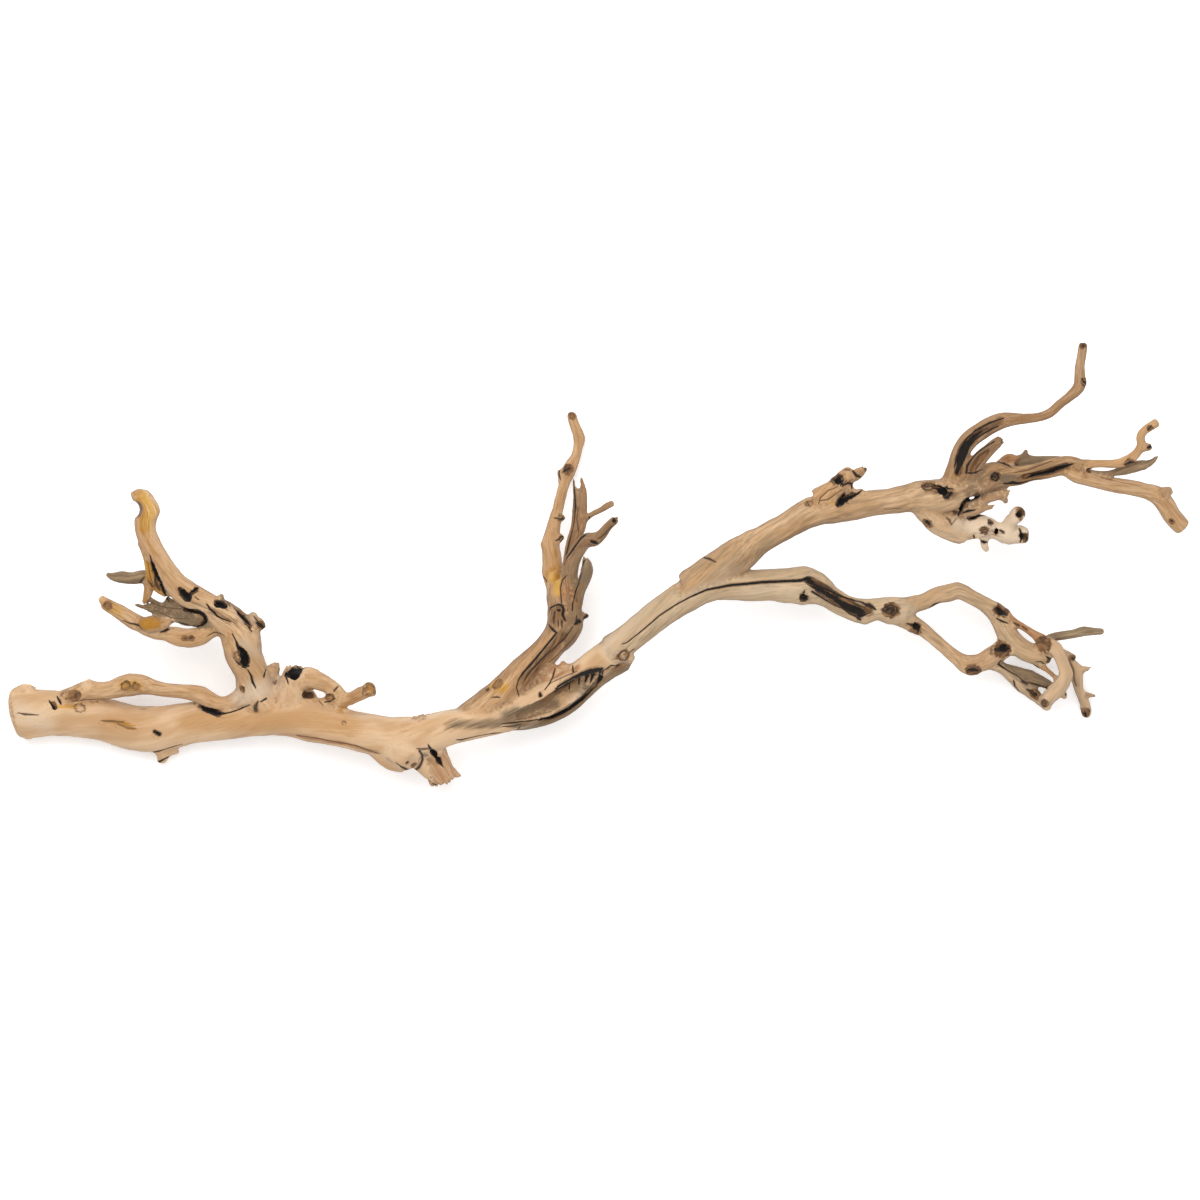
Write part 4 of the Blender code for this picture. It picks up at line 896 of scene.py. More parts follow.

# %% [markdown]
# ## Cracks and painted shade lines
#
# Drying wood splits along its grain. A split this narrow shows as a dark gap: its black line and brown halo
# are painted shade, over a shallow dent. Some rows are painted shadow lines under edges, nubs and stubs. Each
# row starts with how deep the crack goes and how black it is, and goes on with x, y and the width of the dark
# there. The mesh is too coarse to draw half a millimetre by its vertices. So every vertex near a crack keeps
# its signed distance to it in half widths, plus on one side and minus on the other. Between two vertices that
# number passes through zero exactly on the line, and the material can draw it as thin as it likes. Three sets
# of numbers are kept, and cracks take turns, because two cracks side by side in one set would make a third
# line between them. The underside, which the photograph doesn't show, gets a few cracks of its own.

# %% Cracks
# Most rows are cracks and some are painted shadow lines. The dark of each is painted shade.
CRACKS_AND_SHADE_LINES = read_strokes("""
# The trunk and its side shoot
1.6 1: -366.8 -91.5 1, -365.2 -94.3 2.6, -363.8 -97 1.8
0.8 1: -362 -88.8 0.9, -360.4 -91.5 1.8, -359.6 -93 1.2
0.5 0.45: -352 -91.5 0.7, -340 -90.6 1.1, -321 -90.1 0.8
0.4 0.7: -386 -99.6 0.8, -382.5 -100.3 1.5, -375 -100.8 0.6
0.4 0.45: -332 -104.8 0.8, -326 -104.9 1.6, -318 -105.6 1.2
0.4 0.4: -321 -107 1.2, -315 -109.6 1.8, -310 -110 1.2
0.3 0.6: -307 -97 0.7, -303.5 -96.8 1.1
1.8 1: -297 -112 2.4, -293.6 -114 3
1 0.8: -306 -126.4 0.7, -298 -126 1.4, -290 -124 1.8, -283 -121.8 1.6, -279.5 -120.8 0.8
0.4 1: -294.5 -132.3 1.4, -292 -131 1.4, -289 -129.6 1.4, -285.5 -128.8 1
0.8 1: -266.5 -94.5 1, -263 -97 3, -259 -97.8 4.2, -255 -99.8 2.6, -250 -99.7 1.1, -246 -98.9 0.8,
-240 -97 0.8, -233.5 -94.3 0.6
1.2 0.7: -227.5 -92 1, -229.5 -96 3.2, -229 -98.3 3.4
0.8 1: -225 -91.8 1, -221.8 -90.1 1.3
0.6 0.5: -202 -114.7 0.7, -190 -116.2 1, -175 -118.8 1, -163 -121 1.2, -152 -125 1.4, -147 -127 0.7
# The stump
1.5 1: -209.5 -74 2, -206 -72.3 5, -202 -70.3 5.4, -198.5 -69 4, -196 -68.3 1.8
0.6 1: -208.8 -75 1.4, -207.5 -79.5 0.7
0.8 0.5: -194.5 -87.3 4.5, -190.5 -87.3 5
0.5 0.9: -182.5 -92 0.8, -179.5 -91.7 1.1, -177 -89.5 0.9
0.3 0.5: -186.5 -91.5 0.8, -184.5 -93.8 0.7
0.6 0.8: -176.5 -84.5 1.2, -174.3 -82 1
0.2 0.8: -148.3 -81 1, -147.6 -85 1.4, -150.5 -87.8 1.4
0.4 0.5: -156.5 -81.5 1.2, -157.5 -86.5 1
# The left crown
0.6 1: -298 5 1, -295.7 -3 2.8, -293 -8 2.2, -291 -13 1.7, -289 -19 1.7, -286.3 -24.5 0.8
0.4 0.7: -295 -6 2, -293.8 -14 3.6, -292 -17 2
0.4 0.5: -299.5 0 0.7, -298 -9 0.9, -295 -17 0.8
1 1: -278 -17.3 1.6, -275.5 -20 3.6, -273 -22.3 4.6, -271.8 -24.5 2
0.8 1: -272 -18.6 1.4, -269.5 -17.8 2.4, -267 -16.3 1.6
0.3 0.8: -268.3 -22 0.7, -266.3 -23.6 0.7
0.9 1: -280 -26.8 1, -277 -28.6 1.6, -273 -30.4 1.9, -268 -32 2.8, -264 -33 3, -262 -35.5 2, -261.5 -38 1.3,
-264 -40.6 1.8, -267.5 -42 2.2, -272 -41.4 1.6, -277 -40 1.2, -284 -38.8 0.7
1 1: -254.3 -25.6 2, -252 -27.6 4.4, -249.3 -29.6 4.8, -247.5 -28.5 2
0.8 1: -260.3 -27 0.8, -258.6 -30 1.7, -256 -32 1.7, -254 -34.6 1.6, -250.5 -36.6 1.2, -245 -38.3 0.7
0.8 1: -242.5 -29.5 0.8, -239.5 -33.5 1.8, -236 -37 1.7, -233 -40.5 0.9
0.8 1: -236 -39.2 1, -233.5 -42 2.2, -231 -44.5 1
0.6 0.95: -227.5 -39.3 2, -225.2 -41 4.2, -223.3 -42.8 2.2
0.5 0.7: -229.5 -35 0.8, -227 -38.5 1.4
0.5 0.6: -249 -23 1.2, -245.5 -28 1
0.8 1: -243.8 -47 0.7, -241.7 -51 1, -240.2 -55 2.2, -237.5 -57.3 1.8, -234.5 -59.3 2.2
1 1: -235.5 -60.5 4.4, -236 -64 6, -235.8 -67 4, -235.3 -69.3 1
0.6 1: -243.8 -61.5 0.8, -241 -65.6 1.3, -238.8 -67.2 1.8
0.8 1: -233.8 -71 0.7, -231.6 -75 1.5, -230.8 -79 1.7, -229 -82.3 0.9
0.8 1: -221.8 -71 0.8, -223.2 -74.7 1.9
0.6 0.65: -260 -47.8 0.7, -256 -45.7 1.2, -252 -46.6 1.2, -249.8 -48 0.8
0.8 0.95: -291.5 -45.2 1.2, -288.5 -44.3 2.2, -286.5 -43.3 1
0.6 0.85: -316 -38 0.8, -312 -39.8 1.2, -306 -40.8 1.7, -303.5 -42.5 1
0.5 0.75: -305 -12.3 2.2, -302.5 -9 1
0.5 0.8: -299.5 -11.5 1, -297 -15 1.6
0.4 0.4: -300 -25 0.8, -288 -29.5 0.7, -278 -30 0.7
0.3 0.4: -296 -31 0.7, -284 -36 0.7, -272 -37 0.6
0.6 0.95: -305.8 36 1.2, -307 33 2.4, -307.8 30 1.2
# The torn stub
1 1: -113.6 -121 0.8, -111.5 -124.5 2.6, -108.5 -128.5 3.6, -106 -132.5 2.4, -104.2 -135 0.7
0.8 0.6: -120.8 -123.3 1, -117.5 -123.4 1.8, -114 -123 1.6
1 0.8: -119.5 -124.5 1.6, -117.8 -127.5 1.6, -117.7 -130.5 1.5, -118.7 -133.5 1.9, -120.5 -136 2.2,
-123.5 -138 1.4
0.8 0.85: -135 -132.8 0.9, -131.5 -135.3 1.7, -128 -137.3 2, -124 -138 1
0.3 0.85: -121 -139 0.9, -116 -143 1.3, -111.5 -147 2, -109.3 -147.3 2
# The junction and the scoop
0.6 0.9: -94.5 -117.3 1, -92 -117.4 1.8, -86 -116 1.1, -78 -114.6 1.1, -71 -113.2 1.3, -65 -112.6 1
0.8 1: -33.8 -33 0.9, -33 -29.6 1.4, -30 -28 1.4, -27 -27 1.4, -24.6 -27.8 1.8, -23.6 -30.5 2, -24.2 -34 2,
-22.6 -37.5 1.2
0.8 1: -27.6 -30.8 1.8, -26.6 -30.8 2
0.8 0.95: -33.5 -40.8 1.2, -31 -43.6 2.2, -29 -45.3 1.4
0.9 1: -28.5 -46 1.2, -31.5 -50 1.5, -36.5 -56 1.4, -41 -61.5 1.6, -46 -67.5 1.6, -50.5 -72.5 1.4,
-53.5 -77 0.9, -54.8 -82 0.7, -53.5 -87 0.7
0.7 0.8: -17.5 -42.5 0.7, -22.5 -49.5 1, -28 -54.5 1.1, -35 -60.5 1.2, -41 -66.5 1.1, -46.5 -72.5 1.3,
-49 -77 0.8
0.4 0.55: -14.5 -46 0.6, -20 -53 0.8, -27 -60 0.8, -33 -65.5 0.7
1 1: -15.5 -40 2, -13.5 -38.3 4, -12 -38.6 2
0.5 0.9: -14.8 -34.5 0.7, -15.2 -38 1
0 0.9: -10 -36 1.8, -8 -34.6 2.2
0.6 0.95: -29.3 -70 0.8, -30.8 -74.5 1.2, -33 -79.5 1.2, -36 -83.5 0.7
0.4 0.6: -33 -79.5 0.8, -27 -76.8 1.1, -22 -74.3 1, -15 -71.5 0.6
0.7 1: -17.8 -67.8 0.8, -17.3 -71.5 1.4
1.2 1: -39.5 -86 2, -39 -87.8 2.6
0.5 0.7: -71 -88.8 0.8, -68 -88.6 1.2, -66.5 -88.8 0.7
0.4 1: -29 -84.5 0.9, -27 -81.5 1.6, -22 -78.5 2, -17 -75.8 2.4, -12 -73.6 3, -7 -72 4, -2 -70.8 4, 2 -70 2.6
0 0.95: -19.5 -79 1.2, -20 -83 1
0 0.95: -13 -75 1.6, -13.5 -79.5 1
0 1: -8 -74 2.6, -9 -78 1.4
0 0.95: -4 -73 2.4, -5.5 -78.5 1
0 1: 1 -71 2.8, 0.5 -75 1.6, -1 -79 1
0.8 1: -64.5 -106.8 0.8, -58 -106.2 1.2, -50 -105.2 1.2, -42 -104 1.2, -34 -102.5 1.4, -28 -100.7 1.7,
-20 -96.5 2.2, -13 -91.5 2.4, -7 -86.3 2, -2.5 -81.5 1.8, 1.5 -76 1.8, 3 -71.5 1.4
0.4 0.9: -64 -108.8 0.7, -58 -108.4 1, -52 -107 0.7
0.8 1: -54.2 -110.2 1.8, -52.3 -108.6 1
0.7 1: 4 -70.8 0.9, 6 -69.6 2, 8 -68 1.6, 13.5 -67.7 0.8
0.3 0.45: -60 -101.5 0.6, -50 -95.5 0.8, -42 -92.3 0.8, -36 -91 0.5
0.2 0.35: -56 -104 0.5, -44 -101.3 0.7, -32 -98.5 0.5
0.5 0.65: 17.8 -57.2 0.7, 14.5 -58.8 0.9, 12.6 -61.5 0.9, 14 -64 0.9, 17 -64.6 0.9, 19.4 -62 0.9,
19.5 -59.6 0.8, 23 -57 1.2
# The middle crown
0.8 1: -12.8 -3 2.6, -12.3 -7 1.6, -14 -13 1.2, -16 -19 1.2, -17.3 -25 1, -17.8 -30.5 1
0.6 1: -12.5 -3 2.4, -11 -0.5 2, -9.8 3 1.2
0.6 0.75: -22 -8 0.8, -24.8 -11 1.2, -25.8 -16 1, -25.3 -22 1, -25 -26 0.8
0.8 0.95: -36.8 -9 1.4, -35.3 -11.5 1.6
0.9 1: -24 -0.5 1.4, -22.5 3.5 2, -18.5 8.5 1.8, -15 13.5 1.8, -12.5 17 2.2, -9.5 19.5 2
0.8 1: -5 15 2.4, -3 14.3 3.2, -1 13.5 1.5
0.4 1: 9.5 29.5 2.6, 11 28.5 3.2
0.3 0.6: 0 17 1, 4 20 1.2, 8.5 25 1
0.7 0.9: -17.3 54 0.9, -16.6 50 1.2, -16.2 45 1.2, -15.8 38 1.4, -16.5 30 1, -17.5 24 0.8
0.4 0.6: -14 37 0.7, -14.8 30 0.8, -13.5 22 0.7
0.5 0.85: -18 22 1, -20 14 1.2, -22 6 1.4
0.3 0.9: -6.5 31 1, -5.9 29 1
0.6 0.8: -24 61.5 1.2, -21 63.8 1.8, -18.5 64.2 0.8
0 0.9: -26.6 63.5 0.8, -26.6 60 1, -26 56.8 1
0.3 0.8: -29.5 31 0.7, -26 30 1.4, -23 30.5 0.8
0.3 0.85: -28.5 15.8 0.7, -26.3 17 1.4, -24.5 18.8 1
# The long split of the main limb, and its rotten channel
1.3 1: 16 -53.3 0.5, 18.5 -52.6 0.7, 30 -43.5 0.8, 40 -34.7 0.9, 50 -28 0.9, 60 -22.5 1, 72 -17.3 1.5,
88 -14.2 2, 108 -12.2 2.1, 130 -11 2.1, 137 -10.4 2
0.8 0.8: 68 5 1.2, 73 3.5 1.8, 77 1.6 0.9
0.5 1: 130 -11.8 0.9, 134 -11.3 1.6, 138 -9.7 3, 140.5 -10 2.4
0.4 0.95: 139.5 -12 3, 143 -13.5 1.8, 149 -16 1.4, 155 -18.5 1.6, 161 -21.7 1.6, 168 -23.7 1.4, 174 -25.2 1.4,
178 -27 2.4, 181.5 -28 2.6, 184 -30 1.4
0.4 0.95: 142 -18.5 1.6, 147 -21.5 1.4, 152 -24.5 1.3, 158 -28 1.6, 164 -31.3 1.8, 169 -34 2, 174 -37 1.6
0.2 0.9: 145 -17 2.4, 148 -18.5 1.4
0.3 1: 151.5 -20.8 2.6, 155 -21.8 3.8, 158.5 -23 2.4
0.3 1: 171 -30.8 2.4, 173.5 -33 5, 175 -35 3.6, 178 -33.5 1.4
0.6 0.95: 133.8 -20.5 1, 136.2 -19.2 1.2, 138.8 -21 1.2, 138.3 -23.4 1.2, 136 -24.2 1.2, 133.8 -23 1.2,
133.8 -20.5 1
0.4 0.8: 189 -30 1, 191 -28.8 0.8, 195 -27.3 1, 198.5 -29 1.2, 199 -32 1.2, 196 -34.3 1.4, 192.5 -33 0.8,
189.5 -31 1.2
0.8 0.9: 206 -40 1.2, 208.5 -40.5 2, 211 -41 4.6, 213.5 -42.5 3.6, 212.8 -45 1.6
0.6 1: 221.5 -28.6 1.2, 223.8 -27.2 2.2, 226.5 -26.2 1.8, 228.5 -25.8 0.8
# The gnarl
0.3 0.95: 158.5 57.5 2, 161 57.8 2.6
0.6 1: 156.5 55.5 2, 158 53.8 3, 161 53.8 2.4, 162 55.5 1.2
0.8 1: 158 38.6 2, 160.5 40.5 3.6, 163.5 42.5 3.4, 168 44.5 2.4, 171.5 46.5 1.6, 174.5 48.8 0.8
0.6 1: 160.5 42 2.4, 162.5 45.5 1.8, 163 47 0.8
0.4 1: 162 52 1, 165 53.5 2.2, 168 53 1.6, 167.8 50.5 0.9
0.4 0.95: 168.5 61.5 1.2, 171 58.5 2.4, 173.5 57.5 1.6
0.2 0.5: 163.8 62 1.2, 166 62 1
0 0.6: 176.2 63 1.8, 176.8 62 1.2
0.4 0.55: 146 40.5 0.7, 147 44 0.8, 152 48.5 0.7, 158 51 0.6
0.4 0.55: 147 42 0.7, 152 43 0.9, 157 46.5 0.7, 160.5 49 0.6
0.3 0.7: 138.5 40.8 0.8, 139.2 39.3 1.3
0.2 0.35: 190 36.3 0.5, 200 36.8 0.8
# The right crown
0.4 0.8: 214.8 50.3 0.8, 216.5 49.4 0.9, 220 49 0.8, 223 50.3 0.9, 223.3 52 0.8, 220.5 53.2 0.9, 217 53 0.9,
215.3 51.5 1
0.4 0.9: 216.5 51.6 0.8, 219 52.2 1.2, 221.5 51.6 0.9
0.4 1: 224.5 52 1.2, 228 50.9 1.8, 232 49.9 1.4, 235 49.7 0.8
0.8 1: 224.5 48.8 1.6, 227.5 47 3.6, 231 45.8 4.6, 234 46.8 2.6
0.5 0.9: 217.5 28.8 1.4, 219 27.2 2.4, 219.8 25.8 1.4
0.3 0.6: 231.5 30.5 1.2, 233 29 1.8, 234 26.5 1
0.2 0.5: 237 29.5 0.7, 234.5 26.5 0.9
0.3 0.95: 236.5 65 1.4, 238 70 2, 240 76 2, 244 83 1.8, 251 89 1.8, 259 93.5 1.6, 268 96.5 1
0.4 1: 241 66.5 1.6, 243.5 73 3, 245.5 78 2.4, 249 82 1.4, 256 87 1.4, 264 91 1.2
0.3 0.95: 243.8 60.5 2.2, 244.5 65 2.4, 247.5 70 2, 251 74 1.6, 256 77.5 1.2, 262 81 1
0.5 1: 245.5 60.3 1.6, 250 60.6 1.5, 254.5 62.5 0.9
1.2 1: 238.5 32.5 1.2, 240.5 37 2, 243 41.5 2.6, 246 43 2.4, 250 44 2, 253 45 0.9
0.8 1: 242 34 1, 246 35.4 2, 249.5 35.8 0.9
1 1: 245.5 30 1.2, 249 30.5 2.2, 253 31.8 2.2, 255.5 32.4 0.9
0.6 0.9: 260.6 59.3 1, 262.5 60.8 1.2, 265 59.8 1.2, 265.6 57.2 1.2, 264 55.3 1.2, 261 56.3 1.2, 260.6 59.3 1
0.6 1: 269.5 53.3 1.2, 272 53.2 2, 275 53.8 3, 279 53.4 2.2, 284 54.5 1.2, 292 56.5 0.8
0.5 1: 284 57.2 1, 289 59.3 2, 296 60.5 2.4, 301 62 3, 306 64 3.2, 311 65.3 2, 315 66.3 1.2
0.3 0.6: 277 60.8 0.7, 285 62.3 0.8, 293 65.5 0.8, 301 68.3 0.7
0.6 1: 265.5 68 1.4, 269 67 2.2, 272.5 65.5 2.2, 273.8 64.8 1
0.8 1: 259.4 27.3 1.8, 260.3 27.3 1.6
0.5 0.5: 255 22 1.8, 257 23 2
1.2 1: 264 23 1.2, 264.5 21.5 3, 264 19.8 1.2
0.9 0.85: 267 22.2 1.6, 269 21 2
0.6 1: 254.3 15 1.8, 256.5 14.3 2.6, 258.3 14.3 1
0.6 1: 249.4 18 1, 250 16.8 1.2
0.6 0.9: 278 34 2.4, 279 33 3.4, 280.2 32 2.2
0.8 1: 280.3 21.8 1.2, 281.2 18.5 3.6, 280.3 15.3 1.2
0.4 0.8: 284 20.5 1, 284.5 18 1.6, 284 15.8 1
# The twigs
0.4 1: 321 122.5 1.4, 322.8 120.5 1.8
0.3 0.9: 321.5 118.5 1, 323 117.5 1
0.6 1: 350.3 66.2 1.2, 353.5 67 2.8, 355.8 67.8 1.4
0.3 1: 365.3 77.4 2, 367.8 78.6 2.6
0.4 0.9: 365 89.5 1, 366.3 91 1.6
0.3 0.3: 330 59 0.7, 345 55 0.7, 360 52 0.6
# The loop
0.8 0.95: 265.8 -29.5 2, 268 -31.8 5, 270.8 -33.5 3.4, 272 -34.2 1.2
0.6 0.95: 266 -36.5 0.8, 269 -38.3 1.4, 272.5 -39.3 0.7
0.8 0.9: 265 -57.2 2.4, 269 -56.8 5.6, 272.5 -56.6 3.2, 274.3 -56.6 1
0.2 0.4: 262.5 -56.5 2.6, 262.2 -60 3
0.8 0.95: 246.5 -71 1.6, 249.5 -71.3 4.2, 252.5 -71.5 3
0.5 1: 267 -66.8 1.8, 268.5 -64.3 1.6
0.6 0.95: 267 -67 1.6, 271 -69.7 1.1, 276 -72.5 1, 281 -75.5 1, 284.5 -78.5 1.3, 287 -79.5 0.7
0.4 0.9: 287 -78.7 0.6, 293 -80.8 1, 299.5 -83 0.9
0.3 0.95: 277.3 -78.5 1.1, 278 -81.5 1.3, 280.5 -84.3 1
0.5 0.8: 286.5 -84 1.6, 289.5 -85.5 3.2, 291 -88 2
0.4 0.8: 283 -78.5 2, 286 -80.3 1.6
0.3 0.7: 277.5 -39.5 1.6, 280 -41 2
0.2 0.6: 283 -42 1.4, 285.5 -43.8 1.6
0.2 0.45: 291 -53 1.4, 296 -51.5 1.8, 299.5 -54.5 2
0.7 0.95: 299.5 -62.3 1.4, 301.5 -63.6 2.2, 303.2 -65 1
0.5 0.95: 289 -67 1.6, 291.5 -68 2, 293.5 -69.3 1.2
0.3 0.9: 292 -65.5 0.8, 295 -65.3 1.1, 297 -66.5 0.8
0.3 1: 312 -87 1.4, 314 -84.5 2.4, 315.5 -83.5 1.2
0.4 0.5: 314 -64 1.2, 316.5 -70 2, 317.5 -76 1.6, 319 -81 1.6
0.3 1: 325.6 -100 2.8, 326 -101.6 2
""")
UNDER_CRACKS = read_strokes("""
0.8 0.9: -362 -106 0.7, -335 -109 1.7, -318 -113 0.8
0.9 0.95: -264 -108 0.7, -236 -104 2, -212 -101 0.8
0.5 0.7: -245 -97 0.6, -228 -95 1.2, -214 -95 0.6
0.6 0.85: -192 -100 0.6, -172 -104 1.5, -150 -110 0.6
0.9 0.9: -96 -108 0.7, -70 -103 2, -48 -96 0.8
0.8 0.9: 24 -46 0.7, 44 -31 1.8, 62 -20 0.7
0.6 0.85: 84 -2 0.7, 108 15 1.5, 130 28 0.7
0.7 0.9: 152 34 0.7, 176 40 1.7, 200 43 0.7
0.6 0.85: 96 -15 0.7, 118 -14 1.5, 134 -16 0.7
""")
CRACK_SETS = 3
CRACK_FADE = (1.4, 2.6)
PAST_END = (0.2, 1.3)
WIDTH_SHARE = 0.85
LEAST_HALF = 0.25
LEAST_DENT = 0.7
FACING = (0, 0.3)
FARTHEST = 9.0
relief = np.zeros(count)
crack_side = np.full((count, CRACK_SETS), FARTHEST)
crack_and_shade_black = np.zeros((count, CRACK_SETS))
crack_gap = np.full((count, CRACK_SETS), np.inf)
crack_dent = np.zeros(count)
for number, (points, depth, blackness) in enumerate(CRACKS_AND_SHADE_LINES + UNDER_CRACKS):
    lane = number % CRACK_SETS
    spots, faces, widths = stroke(points, FROM_ABOVE if number < len(CRACKS_AND_SHADE_LINES) else FROM_BELOW)
    if len(spots) < 2:
        print("no wood under the crack at", points[0])
        continue
    ahead = np.gradient(spots, axis=0)
    ahead /= np.maximum(np.linalg.norm(ahead, axis=1), 1e-6)[:, None]
    sideways = np.cross(faces, ahead)
    nearest = {}
    for row, spot in enumerate(spots):
        for _, index, gap in vertex_tree.find_range(spot, widths[row] / 2 + CRACK_FADE[1]):
            if gap < nearest.get(index, (np.inf, 0))[0]:
                nearest[index] = (gap, row)
    for index, (gap, row) in nearest.items():
        half = max(widths[row] / 2 * WIDTH_SHARE, LEAST_HALF)
        facing = float(smoothstep(normals[index] @ faces[row], *FACING))
        dent = depth * facing * math.exp(-((gap / max(half, LEAST_DENT)) ** 2))
        crack_dent[index] = max(crack_dent[index], dent)
        if gap - half < crack_gap[index, lane]:
            crack_gap[index, lane] = gap - half
            offset = places[index] - spots[row]
            past_end = max(0, abs(offset @ ahead[row]) - STROKE_STEP / 2)
            side = offset @ sideways[row]
            away = math.copysign(math.hypot(side, past_end), side) / half
            crack_side[index, lane] = np.clip(away, -FARTHEST, FARTHEST)
            fade = 1 - float(smoothstep(gap - half, *CRACK_FADE))
            fade *= 1 - float(smoothstep(past_end, *PAST_END))
            crack_and_shade_black[index, lane] = blackness * fade * facing
relief -= crack_dent
print("cracks:", len(CRACKS_AND_SHADE_LINES), "and below:", len(UNDER_CRACKS))

# %% [markdown]
# ## Knots
#
# A knot is the stub of an old shoot. The trunk grew a raised collar around it, and the stub inside died and
# sank. Each knot has x, y, a radius, the height of its collar, the depth of its middle and its darkness. A
# brown ring runs round it. A dark one is brown inside as well, and black in the part that lies deepest.

# %% Knots
KNOTS = read_points("""
-350 -88 3.2 0.9 0.5 0.5, -347 -96 3 0.4 0.2 0, -356 -87.5 3 0.9 0 0, -316 -81 2.8 0.9 0.7 0.3,
-309.5 -81.5 2.2 0.8 0.7 0.25, -275.8 -49.5 1.7 0.3 0.5 0.5, -271.3 -49.5 1.7 0.3 0.5 0.5,
-225 -41 2.5 0.6 1 0.6, -240.5 -60.8 2.6 1.2 0 0.1, -237.5 -83 2 0.7 0.4 0.6, -326.5 -27.5 2.4 0.6 0.3 0.4,
-179 -89 2.8 0.9 1 0.3, -152 -83.5 3.4 1 0.5 0.1, -128 -132.3 1.4 0.4 0.6 0.6, -123.5 -134 2.2 0.2 0.4 0.5,
-27 -30.8 2.6 1.1 0.8 0.2, -74.2 -83.8 1.3 0.2 0.7 0.7, -67.5 -80 3 0.5 0.2 0.4, 16 -61 3.6 0.4 0.2 0.25,
-26 31 1.8 0.9 0 0.3, -25.5 17 1.8 0.9 0 0.4, -20.8 63.2 3 1 0.5 0.6, -18.2 99 2 0.7 0.9 0.4,
136.3 -21.7 3 0.8 1.1 0.8, 194.5 -30.8 4.6 0.8 0.5 0.7, 211 -42 3.8 0.9 0.9 0.7, 139.5 40.2 2.4 0.5 0.2 0.2,
159.4 55.2 3.8 1.1 1 0.8, 219.4 51.2 4 0.9 0.4 0.5, 218.3 27.3 2.8 0.7 0.6 0.7, 322 121 2.2 0.8 0.4 0.3,
321.5 145.3 2 0.5 0.6 0.7, 263 58 3.2 0.9 0.8 0.7, 259.8 27.3 1.8 0.6 0.6 0.4, 256 22.5 2.4 0.6 0.4 0.5,
279 33 3.6 0.9 0.8 0.7, 282 18.5 3.4 0.6 0.8 0.5, 353 67 2.8 0.8 0.6 0.5, 366 90.3 1.8 0.5 0.4 0.4,
325.7 62.5 1.9 0.6 0.6 0.7, 382 28.5 1.8 0.4 0.4 0.6, 268 -31.8 4.4 1 0.9 0.6, 269.5 -56.9 4.8 1 0.9 0.7,
250 -71.3 4 1 0.8 0.6, 301.5 -63.6 2.6 0.7 0.6 0.5, 297 -53.5 4.4 0.8 0.2 0.45, 325.8 -99 3 0.6 0.3 0.5,
291.5 -87 3 0.8 0.4 0.6, 297.5 -93 2.6 0.4 0.2 0.6, 316.5 -62.8 1.8 0.5 0.4 0.6, -170 -106 1.4 0.2 0.3 0.2
""")
UNDER_KNOTS = read_points("""
-345 -96 5 0.6 0.8 0.5, -240 -112 5.5 0.8 1 0.7, -160 -106 4 0.5 0.8 0.4, -60 -104 4 0.5 0.8 0.6,
76 -8 5 0.7 1 0.7, 140 -10 5 0.8 1 0.6, 188 45 3.5 0.5 0.7 0.5, 196 -32 4 0.5 0.7 0.5
""")
KNOT_STRETCH = 1.25
KNOT_REACH = 2.2
KNOT_TURN = 2.4
COLLAR_PLACE, COLLAR_WIDTH = 1.1, 0.34
PIT_EDGE, CORE_EDGE, DISC_EDGE = (1, 0.35), (0.9, 0.45), (1.15, 0.8)
RING_WIDTH, RING_BROWN = 0.25, 0.6
RAGGED_EDGE = 0.25
BLACK_SIDE = (0.55, 1.1)
knot_brown = np.zeros(count)
knot_black = np.zeros(count)
speckle = noise_in_space(1.6)
for number, (x, y, radius, rise, sink, blackness) in enumerate(KNOTS + UNDER_KNOTS):
    spot = stroke([(x, y)], FROM_ABOVE if number < len(KNOTS) else FROM_BELOW)[0]
    if not len(spot):
        print("no wood under the knot at", x, y)
        continue
    lean = np.array([math.cos(KNOT_TURN * number), math.sin(KNOT_TURN * number), 0])
    for _, index, _ in vertex_tree.find_range(spot[0], radius * KNOT_REACH):
        offset = places[index] - spot[0]
        lengthwise = offset @ along_limb[index]
        across = offset - lengthwise * along_limb[index]
        rings = math.hypot(lengthwise / KNOT_STRETCH, np.linalg.norm(across)) / radius
        deep_side = 0.5 + 0.5 * (offset @ lean) / radius
        collar = math.exp(-(((rings - COLLAR_PLACE) / COLLAR_WIDTH) ** 2))
        pit = float(smoothstep(rings, *PIT_EDGE))
        relief[index] += rise * collar - sink * pit * (0.6 + 0.4 * deep_side)
        uneven = rings + RAGGED_EDGE * speckle[index]
        core = float(smoothstep(uneven, *CORE_EDGE)) * float(smoothstep(deep_side + blackness, *BLACK_SIDE))
        disc = float(smoothstep(uneven, *DISC_EDGE))
        ring = math.exp(-(((uneven - 1) / RING_WIDTH) ** 2))
        knot_brown[index] = max(knot_brown[index], min(1, disc * (0.25 + blackness) + RING_BROWN * ring))
        knot_black[index] = max(knot_black[index], blackness * core)
print("knots:", len(KNOTS), "and below:", len(UNDER_KNOTS))

# %% [markdown]
# ## Bumps and dents
#
# Here and there the branch has a nub, a swelling or a bite that no limb or knot gives. Each is one push of
# the surface: x, y, a radius and a height. A dent has a negative height.

